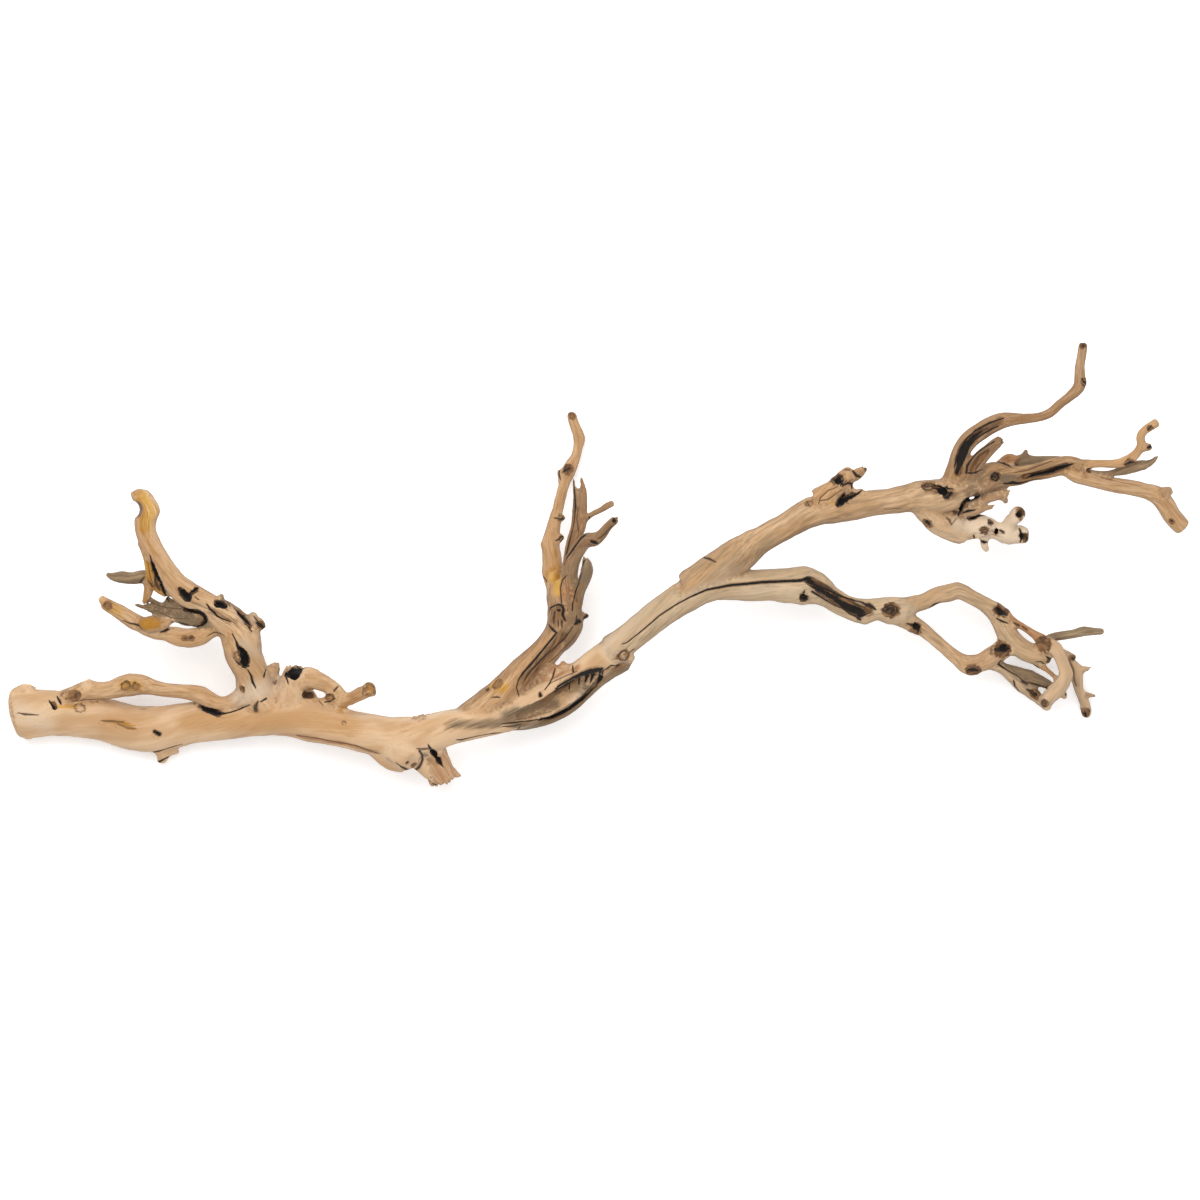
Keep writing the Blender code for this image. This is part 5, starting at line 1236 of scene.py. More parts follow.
# %% Bumps
BUMPS = read_points("""
-381 -115.5 5 1.8, -309.5 34 6 -3.4, -295.5 33 9 1, -302 45 6 1, -293 8 5 1, -289 -3 5 0.8, -303 -40 7 1.4,
-330 -25 4 0.8, -173 -76.5 4.5 1.4, -165 -79 4 1.5, -177 -72.5 4 1, -160 -81.5 4 1.2, -155 -81 4.5 1.2,
-172 -95 5 1.4, -163 -88 3.5 1, -31 10 6 1.4, -37 13 5 1.2, -33 22 4 0.8, -27 50 4.5 0.6, -18 75 4 0.8,
-11 85 4 1, -31 -37 6 1.6, -20 -35 4 0.8, 152 52 4.5 1.2, 164 62 4.5 1.5, 171 62 4 1, 176 64 3.5 0.8,
160 62 4 1.2, 166 57 4 1, 150 44 5 1, 240 26 7 1.8, 243 16 5 1.2, 257 28 6 1.4, 256 20 4 0.8, 272 19 6 1.4,
276 28 5 1, 250 19 3.5 -1.6, 264.5 21.5 4 -1.6, 76 -6 9 1, 60 -14 8 0.8, 100 20 9 0.8, 200 -38 6 0.8,
275 -45 7 0.8, 258 -66 7 0.8, 308 -60 6 0.8, 315 -74 6 0.8, -60 -82 8 0.6, 338 104 5 0.6, 319 116 4 0.8,
370 44 7 0.8, 239 -14 6 1, 178 -39 5 1.2, -294.5 36 9 2
""")
for x, y, radius, height in BUMPS:
    touched = brush([(x, y)], radius)
    relief += height * smoothstep(touched, 0, 1)
print("bumps:", len(BUMPS))

# %% [markdown]
# ## Relief along the grain
#
# Sand eats the soft early wood and leaves the hard late wood, so the surface of a blasted branch is fluted
# lengthwise at every size: broad swellings, finger-wide flutes and a fine ribbing. Each is Perlin noise in
# long cells along the grain. Old grey wood is cracked deeper, and the walls of hollows are crumbly.

# %% Which limbs are old split wood, and which are lumpy
WEATHERED = read_grades("""
1: grey_plank grey_plank_prong
0.9: grey_stub grey_stub_thorn
0.8: grey_finger plank_root loop_plank
0.75: arm_plank grey_twig
0.7: ear horn_stub arm_plank_thorn ragged_plank
0.6: split_limb split_plank split_plank_tip crown_thorn belly_strip arm_wood
0.55: crown_side
0.5: belly_wood low_sliver sliver_back
0.45: low_strand
0.4: split_spur red_stub middle_strand middle_hook top_sliver tuft_side tuft_low
0.35: torn_stub_left torn_stub_right arm_low
0.3: right_knob finger_web wedge torn_stub arm_top elbow_flake
0.2: far_strand
""")
LUMPY = read_grades("""
0.9: gnarl gnarl_eye end_tuft
0.8: stump_sill gnarl_tip tuft_side tuft_low
0.7: stump_spur knobs elbow_flake
0.6: stump_arm gnarl_leg knob_drop knob_rise tuft_back under_flake
0.5: far_strand low_strand finger_head middle_strand arm_wood under_nub
0.4: low_finger_knob
0.35: tall_cane
0.3: stump low_finger torn_stub upper_twig
""")


def by_limb(table):
    """A value for every vertex, from a table of limbs, softened where limbs meet."""
    values = np.array([table.get(name, 0) for name in limb_names], float)
    return softened(values[limb_of], 10)


weathered = by_limb(WEATHERED)
lumpy = by_limb(LUMPY)
print(f"old wood {weathered.mean():.2f} and lumpy wood {lumpy.mean():.2f} of the surface")

# %% The relief: heights in mm of sound wood, and what old or lumpy wood adds
SWELLING, RIBS, CRUMBS = 0.5, 0.05, 0.45
FLUTES, OLD_FLUTES = 0.1, 0.4
SPLITS, OLD_SPLITS = 0.03, 0.75
LUMPS, LUMPY_LUMPS = 0.3, 1.3
SPLIT_GIRTH, LUMP_GIRTH = (0.5, 1), (0.45, 1)
CALM_ROUNDS = 8
swelling = noise_along(42, 10)
flutes = noise_along(34, 3.6, 7.3)
ribs = noise_along(13, 1.5, 3.1)
splits = 1 - smoothstep(np.abs(noise_along(34, 2.3, 11.7)), 0, 0.16)
lumps = noise_in_space(7.5, 31) + 0.5 * noise_in_space(3.6, 17)
crumbs = noise_in_space(2.4, 9) + 0.5 * noise_in_space(1.3, 5)
in_hollow = smoothstep(hollow_depth, 0.8, 2)
lengthwise = girth * (SWELLING * swelling + (FLUTES + OLD_FLUTES * weathered) * flutes) + RIBS * ribs
lengthwise -= (SPLITS + OLD_SPLITS * weathered) * splits * np.clip(girth, *SPLIT_GIRTH)
relief += lengthwise + join * (softened(lengthwise, CALM_ROUNDS) - lengthwise)
relief += (LUMPS + LUMPY_LUMPS * lumpy) * np.clip(girth, *LUMP_GIRTH) * lumps + CRUMBS * in_hollow * crumbs
print(f"relief from {relief.min():.2f} to {relief.max():.2f} mm")

# %% [markdown]
# ## Torn ends
#
# Broken limbs end in splinters. Near such an end the vertices are pushed along the limb by noise that depends
# only on where they lie across it, so each splinter keeps its thickness.

# %% Splinter the broken ends
TORN_ENDS = [
    "torn_stub", "torn_stub_left", "torn_stub_right", "torn_stub_flank", "grey_plank", "grey_plank_prong",
    "grey_finger", "grey_stub", "split_plank", "split_plank_tip", "split_limb", "ear", "arm_plank",
    "red_stub", "middle_strand", "low_sliver", "top_sliver", "ragged_plank", "horn_stub", "gnarl_tip",
    "tuft_side", "tuft_low", "stump", "upright_nub", "elbow_flake", "under_flake", "loop_plank",
    "sliver_back", "end_tuft",
]
SPLINTER_LENGTH, WORN_SHARE = 2.8, 0.15
SPLINTER_WIDTH = 1.9
TORN_REACH = 5
torn = by_limb({name: 1 for name in TORN_ENDS})
near_end = torn * smoothstep(from_ends.min(axis=1), TORN_REACH, 0.5)
only_across = grain * (0, 1, 1) + LIMB_SHIFT * limb_of[:, None] * (1, 0, 0)
splinters = np.array([noise.noise(cell) for cell in only_across / SPLINTER_WIDTH])
outwards = np.where(from_ends[:, 1] < from_ends[:, 0], 1, -1)[:, None] * along_limb
moved = places + normals * relief[:, None]
moved += outwards * (near_end * SPLINTER_LENGTH * (splinters - WORN_SHARE))[:, None]
print("vertices on torn ends:", int((near_end > 0.5).sum()))

# %% [markdown]
# ## The sawn end
#
# The trunk was sawn off, and the blasting has rounded its rim. The flat cut is bulged outwards, most in the
# middle, and its rim is softened. The saw has left shallow ridges across it, and the material later draws
# growth rings, rays and drying checks there.

# %% Round the sawn end
SAWN_MIDDLE = (-98, 19)
SAWN_BULGE = 6
BULGE_LIFT = 0.9
SAWN_REACH = 22
RIM_START = (384, 389)
RIM_ROUNDS = 12
SAW_MARK_STEP = 3.4
SAW_MARK_HEIGHT = 0.12
SAW_MARK_SLANT = 0.4
CUT_REACH = 12
CUT_OVERHANG = 2
over_cut = smoothstep(-places[:, 0], cut_at - CUT_REACH, cut_at + CUT_OVERHANG) * on_trunk
from_middle = np.hypot(places[:, 1] - SAWN_MIDDLE[0], places[:, 2] - SAWN_MIDDLE[1]) / SAWN_REACH
moved[:, 0] -= over_cut * SAWN_BULGE * (BULGE_LIFT - from_middle ** 2)
sawing = places[:, 1] + SAW_MARK_SLANT * places[:, 2]
moved[:, 0] -= sawn * SAW_MARK_HEIGHT * np.sin(math.tau * sawing / SAW_MARK_STEP)
at_rim = smoothstep(-moved[:, 0], *RIM_START) * on_trunk
moved += at_rim[:, None] * (softened(moved, RIM_ROUNDS) - moved)
print("vertices on the saw cut:", int((sawn > 0.5).sum()))

# %% Keep the branch inside the solid's box, flat where it touches the table
box_low, box_high = (np.array(corner) / MM for corner in cad_box)
moved = np.clip(moved, box_low, box_high)
branch.data.vertices.foreach_set("co", (moved * MM).astype(np.float32).ravel())
branch.data.update()
print("box in mm:", moved.min(axis=0).round(1), moved.max(axis=0).round(1))

# %% [markdown]
# ## Stains, painted shade and a painted highlight
#
# Blasted vine wood isn't one colour. Sound wood is a warm cream. Old split wood is grey-brown, fresh breaks
# and bruised spots are rusty, and the heads that grew last are golden. Black and brown strokes in hollows and
# seams are painted shade, as is part of the dusky strokes, and one stroke is a painted highlight.
# Whole limbs get their tint from a table of strengths. Strokes add the places that lie within a limb: each
# row starts with the brush's radius and its strength, and goes on with x and y.

# %% Stains, painted shade and a painted highlight, of whole limbs and in strokes
GOLDEN = read_grades("""
0.8: golden_strand
0.45: finger_head wedge
0.35: low_finger_knob
0.3: stump_sill
0.25: stump_spur
0.2: low_finger
0.1: tall_finger
""")
RUSTY = read_grades("""
0.8: red_stub
0.75: bridge_twig
0.7: orange_strip orange_thorn
0.6: torn_stub_left sliver_back
0.5: torn_stub wedge middle_strand split_plank arm_wood low_sliver top_sliver
0.45: torn_stub_right horn_stub
0.4: split_spur gnarl_tip split_limb finger_web
0.35: crown_side stump_spur grey_stub
0.3: gnarl gnarl_leg
0.25: horn
""")
WARM = read_grades("""
0.6: upper_twig arm_low arm_top cane_knob
0.55: crown_root lower_twig
0.5: tall_cane horn arch low_finger stump_spur gnarl far_strand
0.45: loop_lower
0.4: tall_finger upper_arm stump_arm loop_upper
""")
PALE = read_grades("""
0.95: knobs
0.85: knob_rise
0.8: knob_drop
0.4: arm_plank
0.35: low_strand far_strand
0.3: stub_lobe right_strand tuft_top
0.25: front_limb
""")
DUSKY = read_grades("""
0.95: crown_side
0.9: split_limb arm_wood belly_strip
0.8: split_plank horn_stub
0.7: split_spur ear
0.65: horn arm_low
0.6: crown_root top_sliver plank_root grey_stub
0.5: arm_top loop_plank grey_finger belly_wood
0.4: middle_strand low_sliver red_stub
0.35: upper_arm low_strand
0.3: cane_knob loop_lower grey_plank stump_spur
0.25: tall_cane loop_upper lower_twig
0.2: upper_twig front_limb far_strand bulge gnarl
0.15: main_limb low_finger tall_finger
0.05: knob_rise knob_drop
0: knobs
""")
ASHEN = read_grades("""
0.9: grey_twig
0.7: main_limb channel_corner loop_plank belly_strip arm_plank
0.6: shoulder_nub tuft_side belly_wood
0.5: loop_upper low_strand old_leaf_scar crown_side knobs knob_rise tuft_low tuft_top plank_root low_sliver
0.4: front_limb far_strand right_strand bulge middle_strand arm_wood
0.35: loop_lower upper_arm
""")
ASHEN_STROKES = read_strokes("""
15 0.55: 84 -4, 100 5, 116 14
12 0.5: 5 -55, 25 -40
9 0.7: -62 -102, -44 -95, -30 -92
14 0.25: -390 -100, -350 -100
12 0.6: 240 28, 280 26
8 0.5: -236 -52, -226 -60
5 1: 268 57, 276 56
""")
GOLDEN_STROKES = read_strokes("""
10 0.8: -303 44, -300 34, -301 24
8 0.4: -300 20, -296 8
6.5 1: -302 -40, -295 -40
7 0.6: -328 -27, -320 -31
3 0.9: -362 -95.5, -350 -95.5
5 0.7: -349 -86
6 0.9: -318 -81, -308 -81
3.5 0.7: -331 -105, -318 -106, -311 -110
4 0.6: -172 -95, -172 -99
4 1: -152 -83.5
4 0.8: -180 -89
8 0.8: -33 -8, -27 -4, -29 -18
7 0.8: -70 -80, -64 -82
5 0.8: -238 -82
5 0.5: -29 0, -30 8
4 0.5: 321 146
3 0.3: -30 2, -24 31
3 0.8: 154 41, 156 40
6 0.4: -247 -52, -246 -58
4 0.5: 237 60, 236 55
""")
GREY_STROKES = read_strokes("""
6 0.6: -22 -44, -34 -58, -50 -78
6 0.8: -96 -107, -82 -107, -68 -106
7 0.8: -62 -102, -44 -95, -30 -92
8 0.6: -34 -90, -24 -84, -12 -80
5 0.9: -56 -108, -40 -107, -25 -101.5, -10 -92
6 0.5: -48 -82, -40 -78, -34 -70
7 0.4: -267 -28, -248 -34, -238 -40
5 0.6: -31 -36, -26 -34
6 0.5: 245 48, 252 54, 260 60
8 0.3: 60 -12, 74 0
5 1: 268 57, 276 56
9 0.2: -104 -108, -124 -112
7 0.9: 142 -14, 160 -24, 180 -31
5 0.8: 248 64, 254 70
3 0.9: -229 -97
4 0.7: -116 -127, -113 -131
4 0.5: -31 13
3 0.5: -40 -60, -30 -50
8 0.2: -150 -106, -130 -108
""")
RUSTY_STROKES = read_strokes("""
4 0.8: -200 -115, -170 -120, -148 -126
5 0.7: -38 -78, -14 -69
4 0.5: 16 -61
6 0.6: 194 -31
5 0.3: -127 -131
5 0.6: 262 -58
5 0.4: 219 51
5 0.7: -23 -12, -25 -24
5 0.8: -192 -87
6 0.8: 297 -53
6 0.4: 145 42, 156 48
5 0.4: 231 26, 238 34
4 0.7: -349 -88
4 0.9: 297 -93
4 0.7: 166 -27, 180 -30
3.5 0.9: -172 -97
3 0.8: -265 -96
3 0.6: 5 -71, 18 -66
3 0.7: -244 -58
5 0.9: 272 69
7 0.6: -110 -138, -104 -144
4 0.6: -18 -16, -17 -26
""")
WARM_STROKES = read_strokes("""
12 0.9: -275 -106, -240 -106, -200 -104, -165 -108
7 1: 92 1, 112 14, 140 29
10 0.5: -330 -106, -300 -106
7 0.5: 24 -56, 50 -37, 80 -25
8 0.5: 178 38, 210 40
9 0.5: -100 -104, -140 -110
7 0.6: 140 28, 165 35
7 0.8: -45 -55, -62 -72, -80 -88
7 0.4: -27 40, -24 20
""")
PALE_STROKES = read_strokes("""
12 0.5: -390 -95, -370 -108
12 0.8: -240 -88, -215 -80
9 0.5: 5 -55, 35 -25
8 0.3: 60 -20, 90 -4
9 0.3: 190 -30, 215 -34
8 0.4: 96 -18, 130 -18
4 0.8: -20 -92, -8 -82
7 0.6: -120 -102, -95 -97
12 0.8: 240 28, 280 26
6 0.5: -160 -101, -130 -103
6 0.3: -300 -94, -320 -94
6 0.5: -236 -52, -226 -60
""")
# Dusky strokes darken the main limb and the upper arm, and lay painted shade into the seams and hollows of
# the crown root, the scoop, the split limb, the channel and the right crown.
DUSKY_AND_SHADE_STROKES = read_strokes("""
8 0.95: -24 -46, -36 -60, -50 -78
10 0.8: -30 -30, -22 -38
8 0.7: -60 -104, -44 -99, -30 -94
5 0.8: -12 -10, -16 -26
5 0.8: -16 8, -2 13, 9 28
4 0.8: -18 22, -16 48
6 0.8: 226 48, 236 46
6 0.5: -100 -107, -66 -106
4 0.9: -60 -108, -30 -103, -8 -90
6 0.6: 88 -2, 112 10, 140 25, 165 32
5 0.4: 28 -50, 50 -35, 80 -24
5 0.6: -50 -84, -36 -74, -28 -64
6 0.8: 245 48, 254 56
5 1: 269 57, 276 56
6 0.8: 142 -14, 160 -24, 180 -31
6 0.5: 180 36, 212 36
""")
# A stroke along the crown root's lit left edge, taken out of the dusky layer: a painted highlight.
PAINTED_HIGHLIGHT_STROKES = read_strokes("""
8 1: -84 -100, -66 -86, -46 -66, -31 -50
""")
# Black strokes in the mouths of hollows and along seams and gaps: painted shade.
BLACK_SHADE_STROKES = read_strokes("""
7 0.55: -24 -80, -12 -75, 0 -72
5 0.35: 238 60, 241 70, 247 82, 256 90, 268 96
6 1: -206 -73, -199 -70
7 0.45: -22 -46, -34 -60, -48 -76
7 0.55: -30 -33, -26 -40
6 0.5: -15 -37
5 0.3: -114 -131
4 0.6: -268 -95, -256 -99
4 0.5: -12 -14, -16 -26
5 0.5: 246 43, 256 46
4 0.5: -276 -19, -272 -24
5 0.5: -252 -28
""")
# Brown strokes along seams, channels and round hollows: painted shade.
BROWN_SHADE_STROKES = read_strokes("""
6.5 0.8: -24 -48, -36 -61, -49 -77
7 0.6: -30 -36, -26 -30
5 0.35: -62 -104, -46 -98, -32 -94
4 0.5: -56 -108, -36 -105.5, -22 -100
4 0.4: -22 -100, -10 -91, 0 -80
5 0.5: -40 -66, -46 -80
3.5 0.7: -294 -5, -293 -14
3 0.6: -22 4, -18 20, -17 45
4 0.5: -14 12, 0 14, 8 24
5 0.8: 238 62, 242 74, 252 86, 266 95
5 0.7: 280 56, 296 59, 312 65
6 0.7: 224 47, 234 47
5 0.8: 240 34, 244 42, 254 46
4 0.7: 246 31, 256 33
6 0.8: 142 -14, 160 -24, 180 -31
4 0.6: -14 -20, -12 -34
5 0.6: -277 -19, -271 -24
5 0.6: -254 -26, -248 -30
5 0.6: -236 -60, -236 -68
3 0.7: -277 -29, -266 -33, -262 -38, -270 -41.5
4 0.6: -258 -31, -251 -36, -240 -39
4 0.7: -240 -32, -233 -41
5 0.8: 158 54, 161 57
4 0.7: 160 41, 168 45
4 0.5: 168 55, 174 60
5 0.5: 254 22, 266 20
3.5 0.4: -118 -124, -114 -130, -106 -134
3 0.6: -194 -87.5
3.5 0.5: 247 66, 254 74, 262 80
3 0.5: -12 -4, -16 -18
""")
SCOOP_FLOOR = [(-50, -101), (-32, -94), (-14, -85), (-4, -77)]


BRUSH_EDGE = (0, 0.8)
NARROW_EDGE, WIDE_EDGE = 4, 20


def stained(table, strokes, rounds=NARROW_EDGE):
    """A mask from whole limbs and strokes together, its edge softened this many rounds."""
    mask = by_limb(table)
    for points, radius, strength in strokes:
        mask = np.maximum(mask, strength * smoothstep(brush(points, radius), *BRUSH_EDGE))
    return softened(mask, rounds)


golden = stained(GOLDEN, GOLDEN_STROKES)
grey = stained(WEATHERED, GREY_STROKES)
rusty = stained(RUSTY, RUSTY_STROKES)
warm = stained(WARM, WARM_STROKES, WIDE_EDGE)
pale = stained(PALE, PALE_STROKES, WIDE_EDGE)
ashen = stained(ASHEN, ASHEN_STROKES)
painted_black_shade = stained({}, BLACK_SHADE_STROKES)
painted_brown_shade = stained({}, BROWN_SHADE_STROKES)
print(f"golden {golden.mean():.2f}, grey {grey.mean():.2f}, pale {pale.mean():.2f} of the surface")

# %% Dusky wood and painted shade: darker old limbs, with painted shade on steep sides and in the valleys of the grain
AGED = [
    (SIDE_SHOOT, 0.22), (LEFT_CROWN, 0.46), (LEFT_CROWN_FLAT, 0.42), (STUMP, 0.14), (MIDDLE_CROWN, 0.58),
    (MIDDLE_CROWN_FLAT, 0.56), (MAIN_LIMB, 0.32), (GNARL, 0.4), (RIGHT_CROWN, 0.54), (RIGHT_CROWN_FLAT, 0.56),
    (LOOP, 0.4), (LOOP_FLAT, 0.48),
]
VALLEY_ROUNDS = 6
VALLEY_DEPTH = (0, 0.3)
STEEPNESS = (-0.1, 0.65)
PAINTED_HIGHLIGHT_SHARE, SIDE_SHADE_SHARE, VALLEY_SHADE_SHARE = 0.4, 0.6, 0.22
branch.data.update()
normals = column(branch.data.vertices, "normal", 3)
aged = {name: value for table, value in AGED for name in table} | DUSKY
# Sides that turn away from the light above, and the valleys of the grain, are darkened: painted shade.
side_shade = 1 - smoothstep(normals[:, 2], *STEEPNESS)
valley_shade = smoothstep(((softened(moved, VALLEY_ROUNDS) - moved) * normals).sum(axis=1), *VALLEY_DEPTH)
dusky_and_shade = stained(aged, DUSKY_AND_SHADE_STROKES) - PAINTED_HIGHLIGHT_SHARE * stained({}, PAINTED_HIGHLIGHT_STROKES)
dusky_and_shade = np.clip(dusky_and_shade + SIDE_SHADE_SHARE * side_shade + VALLEY_SHADE_SHARE * valley_shade, 0, 1)
print(f"dusky {dusky_and_shade.mean():.2f} of the surface on average")

# %% Brown and black from the depth of hollows and creases: rot and painted shade in hollows, painted shade in creases
SCOOP_RADIUS, UNSHADED_FLOOR = 10, 0.85
BROWN_DEPTH, BLACK_DEPTH = (0.5, 2), (3.4, 6.2)
BROWN_CREASE_SHADE, BLACK_CREASE_SHADE = (0.3, 1.4), (1.9, 3.2)
DARK_WAVER, BLACK_SHADE_GAIN = 1.6, 2
# The open floor of the scoop gets less of the painted shade.
scoop_floor = smoothstep(brush(SCOOP_FLOOR, SCOOP_RADIUS), 0, 0.4)
dark_waver = noise_along(16, 2.6, 21)
darkening_depth = hollow_depth * (1 - UNSHADED_FLOOR * scoop_floor)
hollow_brown_and_shade = smoothstep(darkening_depth, *BROWN_DEPTH)
hollow_black_and_shade = smoothstep((darkening_depth + DARK_WAVER * dark_waver) * (1 + BLACK_SHADE_GAIN * painted_black_shade), *BLACK_DEPTH)
# Brown and black deep in creases: painted shade.
crease_shade_brown = smoothstep(crease_depth, *BROWN_CREASE_SHADE)
# Brown: rot and painted shade in hollows, painted shade in creases and strokes, and the knots' brown.
brown = np.maximum.reduce([0.9 * hollow_brown_and_shade, 0.75 * crease_shade_brown, knot_brown, 0.8 * painted_black_shade, painted_brown_shade])
# Where the black strokes are strongest they turn black in streaks along the grain: painted shade.
painted_black_shade_streaks = painted_black_shade * smoothstep(noise_along(9, 1.6, 41) + 1.4 * painted_black_shade, 0.2, 0.9)
# Black: rot and painted shade deep in hollows, painted shade deep in creases and in strokes, and the knots'
# black.
black = np.maximum.reduce([hollow_black_and_shade, smoothstep(crease_depth, *BLACK_CREASE_SHADE), knot_black, painted_black_shade_streaks])
print(f"brown {brown.mean():.3f} and black {black.mean():.3f} of the surface")

# %% Store the masks and the grain coordinates on the mesh
MASKS = {
    "golden": golden, "grey": grey, "rusty": rusty, "warm": warm, "pale": pale, "brown": brown,
    "black": black, "dusky_and_shade": dusky_and_shade, "ashen": ashen, "sawn": sawn, "join": join,
}
VECTORS = {"grain": grain * MM, "crack_side": crack_side, "crack_and_shade_black": crack_and_shade_black}
mesh = branch.data
for name, values in MASKS.items():
    attribute = mesh.attributes.new(name, "FLOAT", "POINT")
    attribute.data.foreach_set("value", values.astype(np.float32))
for name, values in VECTORS.items():
    attribute = mesh.attributes.new(name, "FLOAT_VECTOR", "POINT")
    attribute.data.foreach_set("vector", values.astype(np.float32).ravel())
select_only(branch)
bpy.ops.object.shade_smooth()
print("attributes:", sorted([*MASKS, *VECTORS]))

# %% [markdown]
# ## Thinning out
#
# A library part may only have so many triangles. A Decimate modifier merges vertices where the surface is
# flattest, down to a set number of triangles, and it carries the attributes along. Near cracks, knots and the
# edges of black patches every vertex is needed, flat or not, so a vertex group tells the modifier where it
# may take some. It comes last, when all relief is in the shape, and the few vertices that it moves out of the
# solid's box are put back.

# %% Thin out the mesh
MOST_TRIANGLES = 196000
GROUP_LEVELS = 5
KEEP_FACTOR = 0.3
EDGE_SHARE, EDGE_HALF = 0.7, 0.45
MOST_KEPT, MARK_GAIN = 0.9, 1.5
black_edge = EDGE_SHARE * (np.abs(black - 0.5) < EDGE_HALF)
marked = softened(np.maximum.reduce([crack_and_shade_black.max(axis=1), knot_brown, knot_black, black_edge]), 1)
levels = np.round((1 - MOST_KEPT * np.clip(MARK_GAIN * marked, 0, 1)) * GROUP_LEVELS).astype(int)
may_go = branch.vertex_groups.new(name="may_go")
for level in range(1, GROUP_LEVELS + 1):
    may_go.add(np.where(levels == level)[0].tolist(), level / GROUP_LEVELS, "REPLACE")
thin_out = branch.modifiers.new("thin_out", "DECIMATE")
thin_out.ratio = MOST_TRIANGLES / len(mesh.polygons)
thin_out.vertex_group = may_go.name
thin_out.vertex_group_factor = KEEP_FACTOR
apply_modifiers(branch)
branch.vertex_groups.clear()
inside_box = np.clip(column(branch.data.vertices, "co", 3) / MM, box_low, box_high)
branch.data.vertices.foreach_set("co", (inside_box * MM).astype(np.float32).ravel())
print("vertices kept whole:", int((levels == 0).sum()), "triangles left:", len(branch.data.polygons))

# %% [markdown]
# ## Sandblasted grapevine wood
#
# Sandblasted grapevine wood is bare, dry and matt: its fibres stand open, so it has hardly any gloss, only a
# dusty sheen at its edges. The base colour is cream with tan streaks along the grain, fine brown fibre lines
# and slow changes from limb to limb. The masks then mix in the stains and the painted shade and highlight.
# Noise is added to each mask first, so that a stain's edge follows the fibres instead of the brush.

# %% A colour from its hex code, and one function that adds a node
def colour(code):
    """Linear colour from an sRGB hex code such as E2BE96."""
    channels = [int(code[start:start + 2], 16) / 255 for start in (0, 2, 4)]
    return (*[c / 12.92 if c <= 0.04045 else ((c + 0.055) / 1.055) ** 2.4 for c in channels], 1)


def add(kind, inputs=None, **settings):
    """Adds a node, sets it up, and fills its inputs with values or with other nodes' outputs."""
    node = wood.node_tree.nodes.new(kind)
    for name, value in settings.items():
        setattr(node, name, value)
    for name, value in (inputs or {}).items():
        if isinstance(value, bpy.types.NodeSocket):
            wood.node_tree.links.new(value, node.inputs[name])
        else:
            node.inputs[name].default_value = value
    return node


def maths(operation, first, second):
    return add("ShaderNodeMath", {0: first, 1: second}, operation=operation).outputs["Value"]


def between(value, low, high, to_low=0, to_high=1):
    """A smooth step of a value, from to_low at low to to_high at high."""
    inputs = {"Value": value, "From Min": low, "From Max": high, "To Min": to_low, "To Max": to_high}
    return add("ShaderNodeMapRange", inputs, interpolation_type="SMOOTHSTEP").outputs["Result"]


# The Mix node lists its sockets for every data type, and these are the ones for a number and for a colour.
MIX_FACTOR, NUMBER_UNDER, NUMBER_OVER, NUMBER_RESULT = 0, 2, 3, 0
COLOUR_UNDER, COLOUR_OVER, COLOUR_RESULT = 6, 7, 2


def mixed(share, under, over, blend="MIX"):
    """One colour over another."""
    inputs = {MIX_FACTOR: share, COLOUR_UNDER: under, COLOUR_OVER: over}
    return add("ShaderNodeMix", inputs, data_type="RGBA", blend_type=blend).outputs[COLOUR_RESULT]


print("one sRGB cream as linear colour:", [round(channel, 3) for channel in colour("D6B48F")])

# %% Grain patterns
# Length along the grain and width across it in mm, then the detail. Real fibres are 0.1 to 0.2 mm wide. A
# pixel of the picture covers 0.67 mm, so they are drawn 0.7 mm wide. Where limbs run into each other no grain
# direction holds, and a looser pattern without one takes over.
PATTERNS = {
    "clouds": (55, 13, 2), "streaks": (30, 2.4, 3), "fibres": (11, 0.7, 3), "flecks": (3.2, 0.9, 2),
}
LOOSE_SHARE = 3
wood = bpy.data.materials.new("sandblasted_grapevine_wood")
wood.use_nodes = True
wood.node_tree.nodes.clear()
stored = {name: add("ShaderNodeAttribute", attribute_name=name).outputs["Fac"] for name in MASKS}
grain_place, crack_sides, crack_and_shade_blacks = [
    add("ShaderNodeAttribute", attribute_name=name).outputs["Vector"] for name in VECTORS
]
space_place = add("ShaderNodeTexCoord").outputs["Object"]
pattern = {}
for name, (along, across, detail) in PATTERNS.items():
    scale = (1 / (along * MM), 1 / (across * MM), 1 / (across * MM))
    place = add("ShaderNodeMapping", {"Vector": grain_place, "Scale": scale}).outputs["Vector"]
    cells = add("ShaderNodeTexNoise", {"Vector": place, "Scale": 1, "Detail": detail, "Roughness": 0.6})
    loose_inputs = {"Vector": space_place, "Scale": 1 / (LOOSE_SHARE * across * MM), "Detail": 2}
    loose = add("ShaderNodeTexNoise", loose_inputs)
    under, over = cells.outputs["Fac"], loose.outputs["Fac"]
    inputs = {MIX_FACTOR: stored["join"], NUMBER_UNDER: under, NUMBER_OVER: over}
    pattern[name] = add("ShaderNodeMix", inputs, data_type="FLOAT").outputs[NUMBER_RESULT]
print("patterns:", {name: f"{along} x {across} mm" for name, (along, across, _) in PATTERNS.items()})

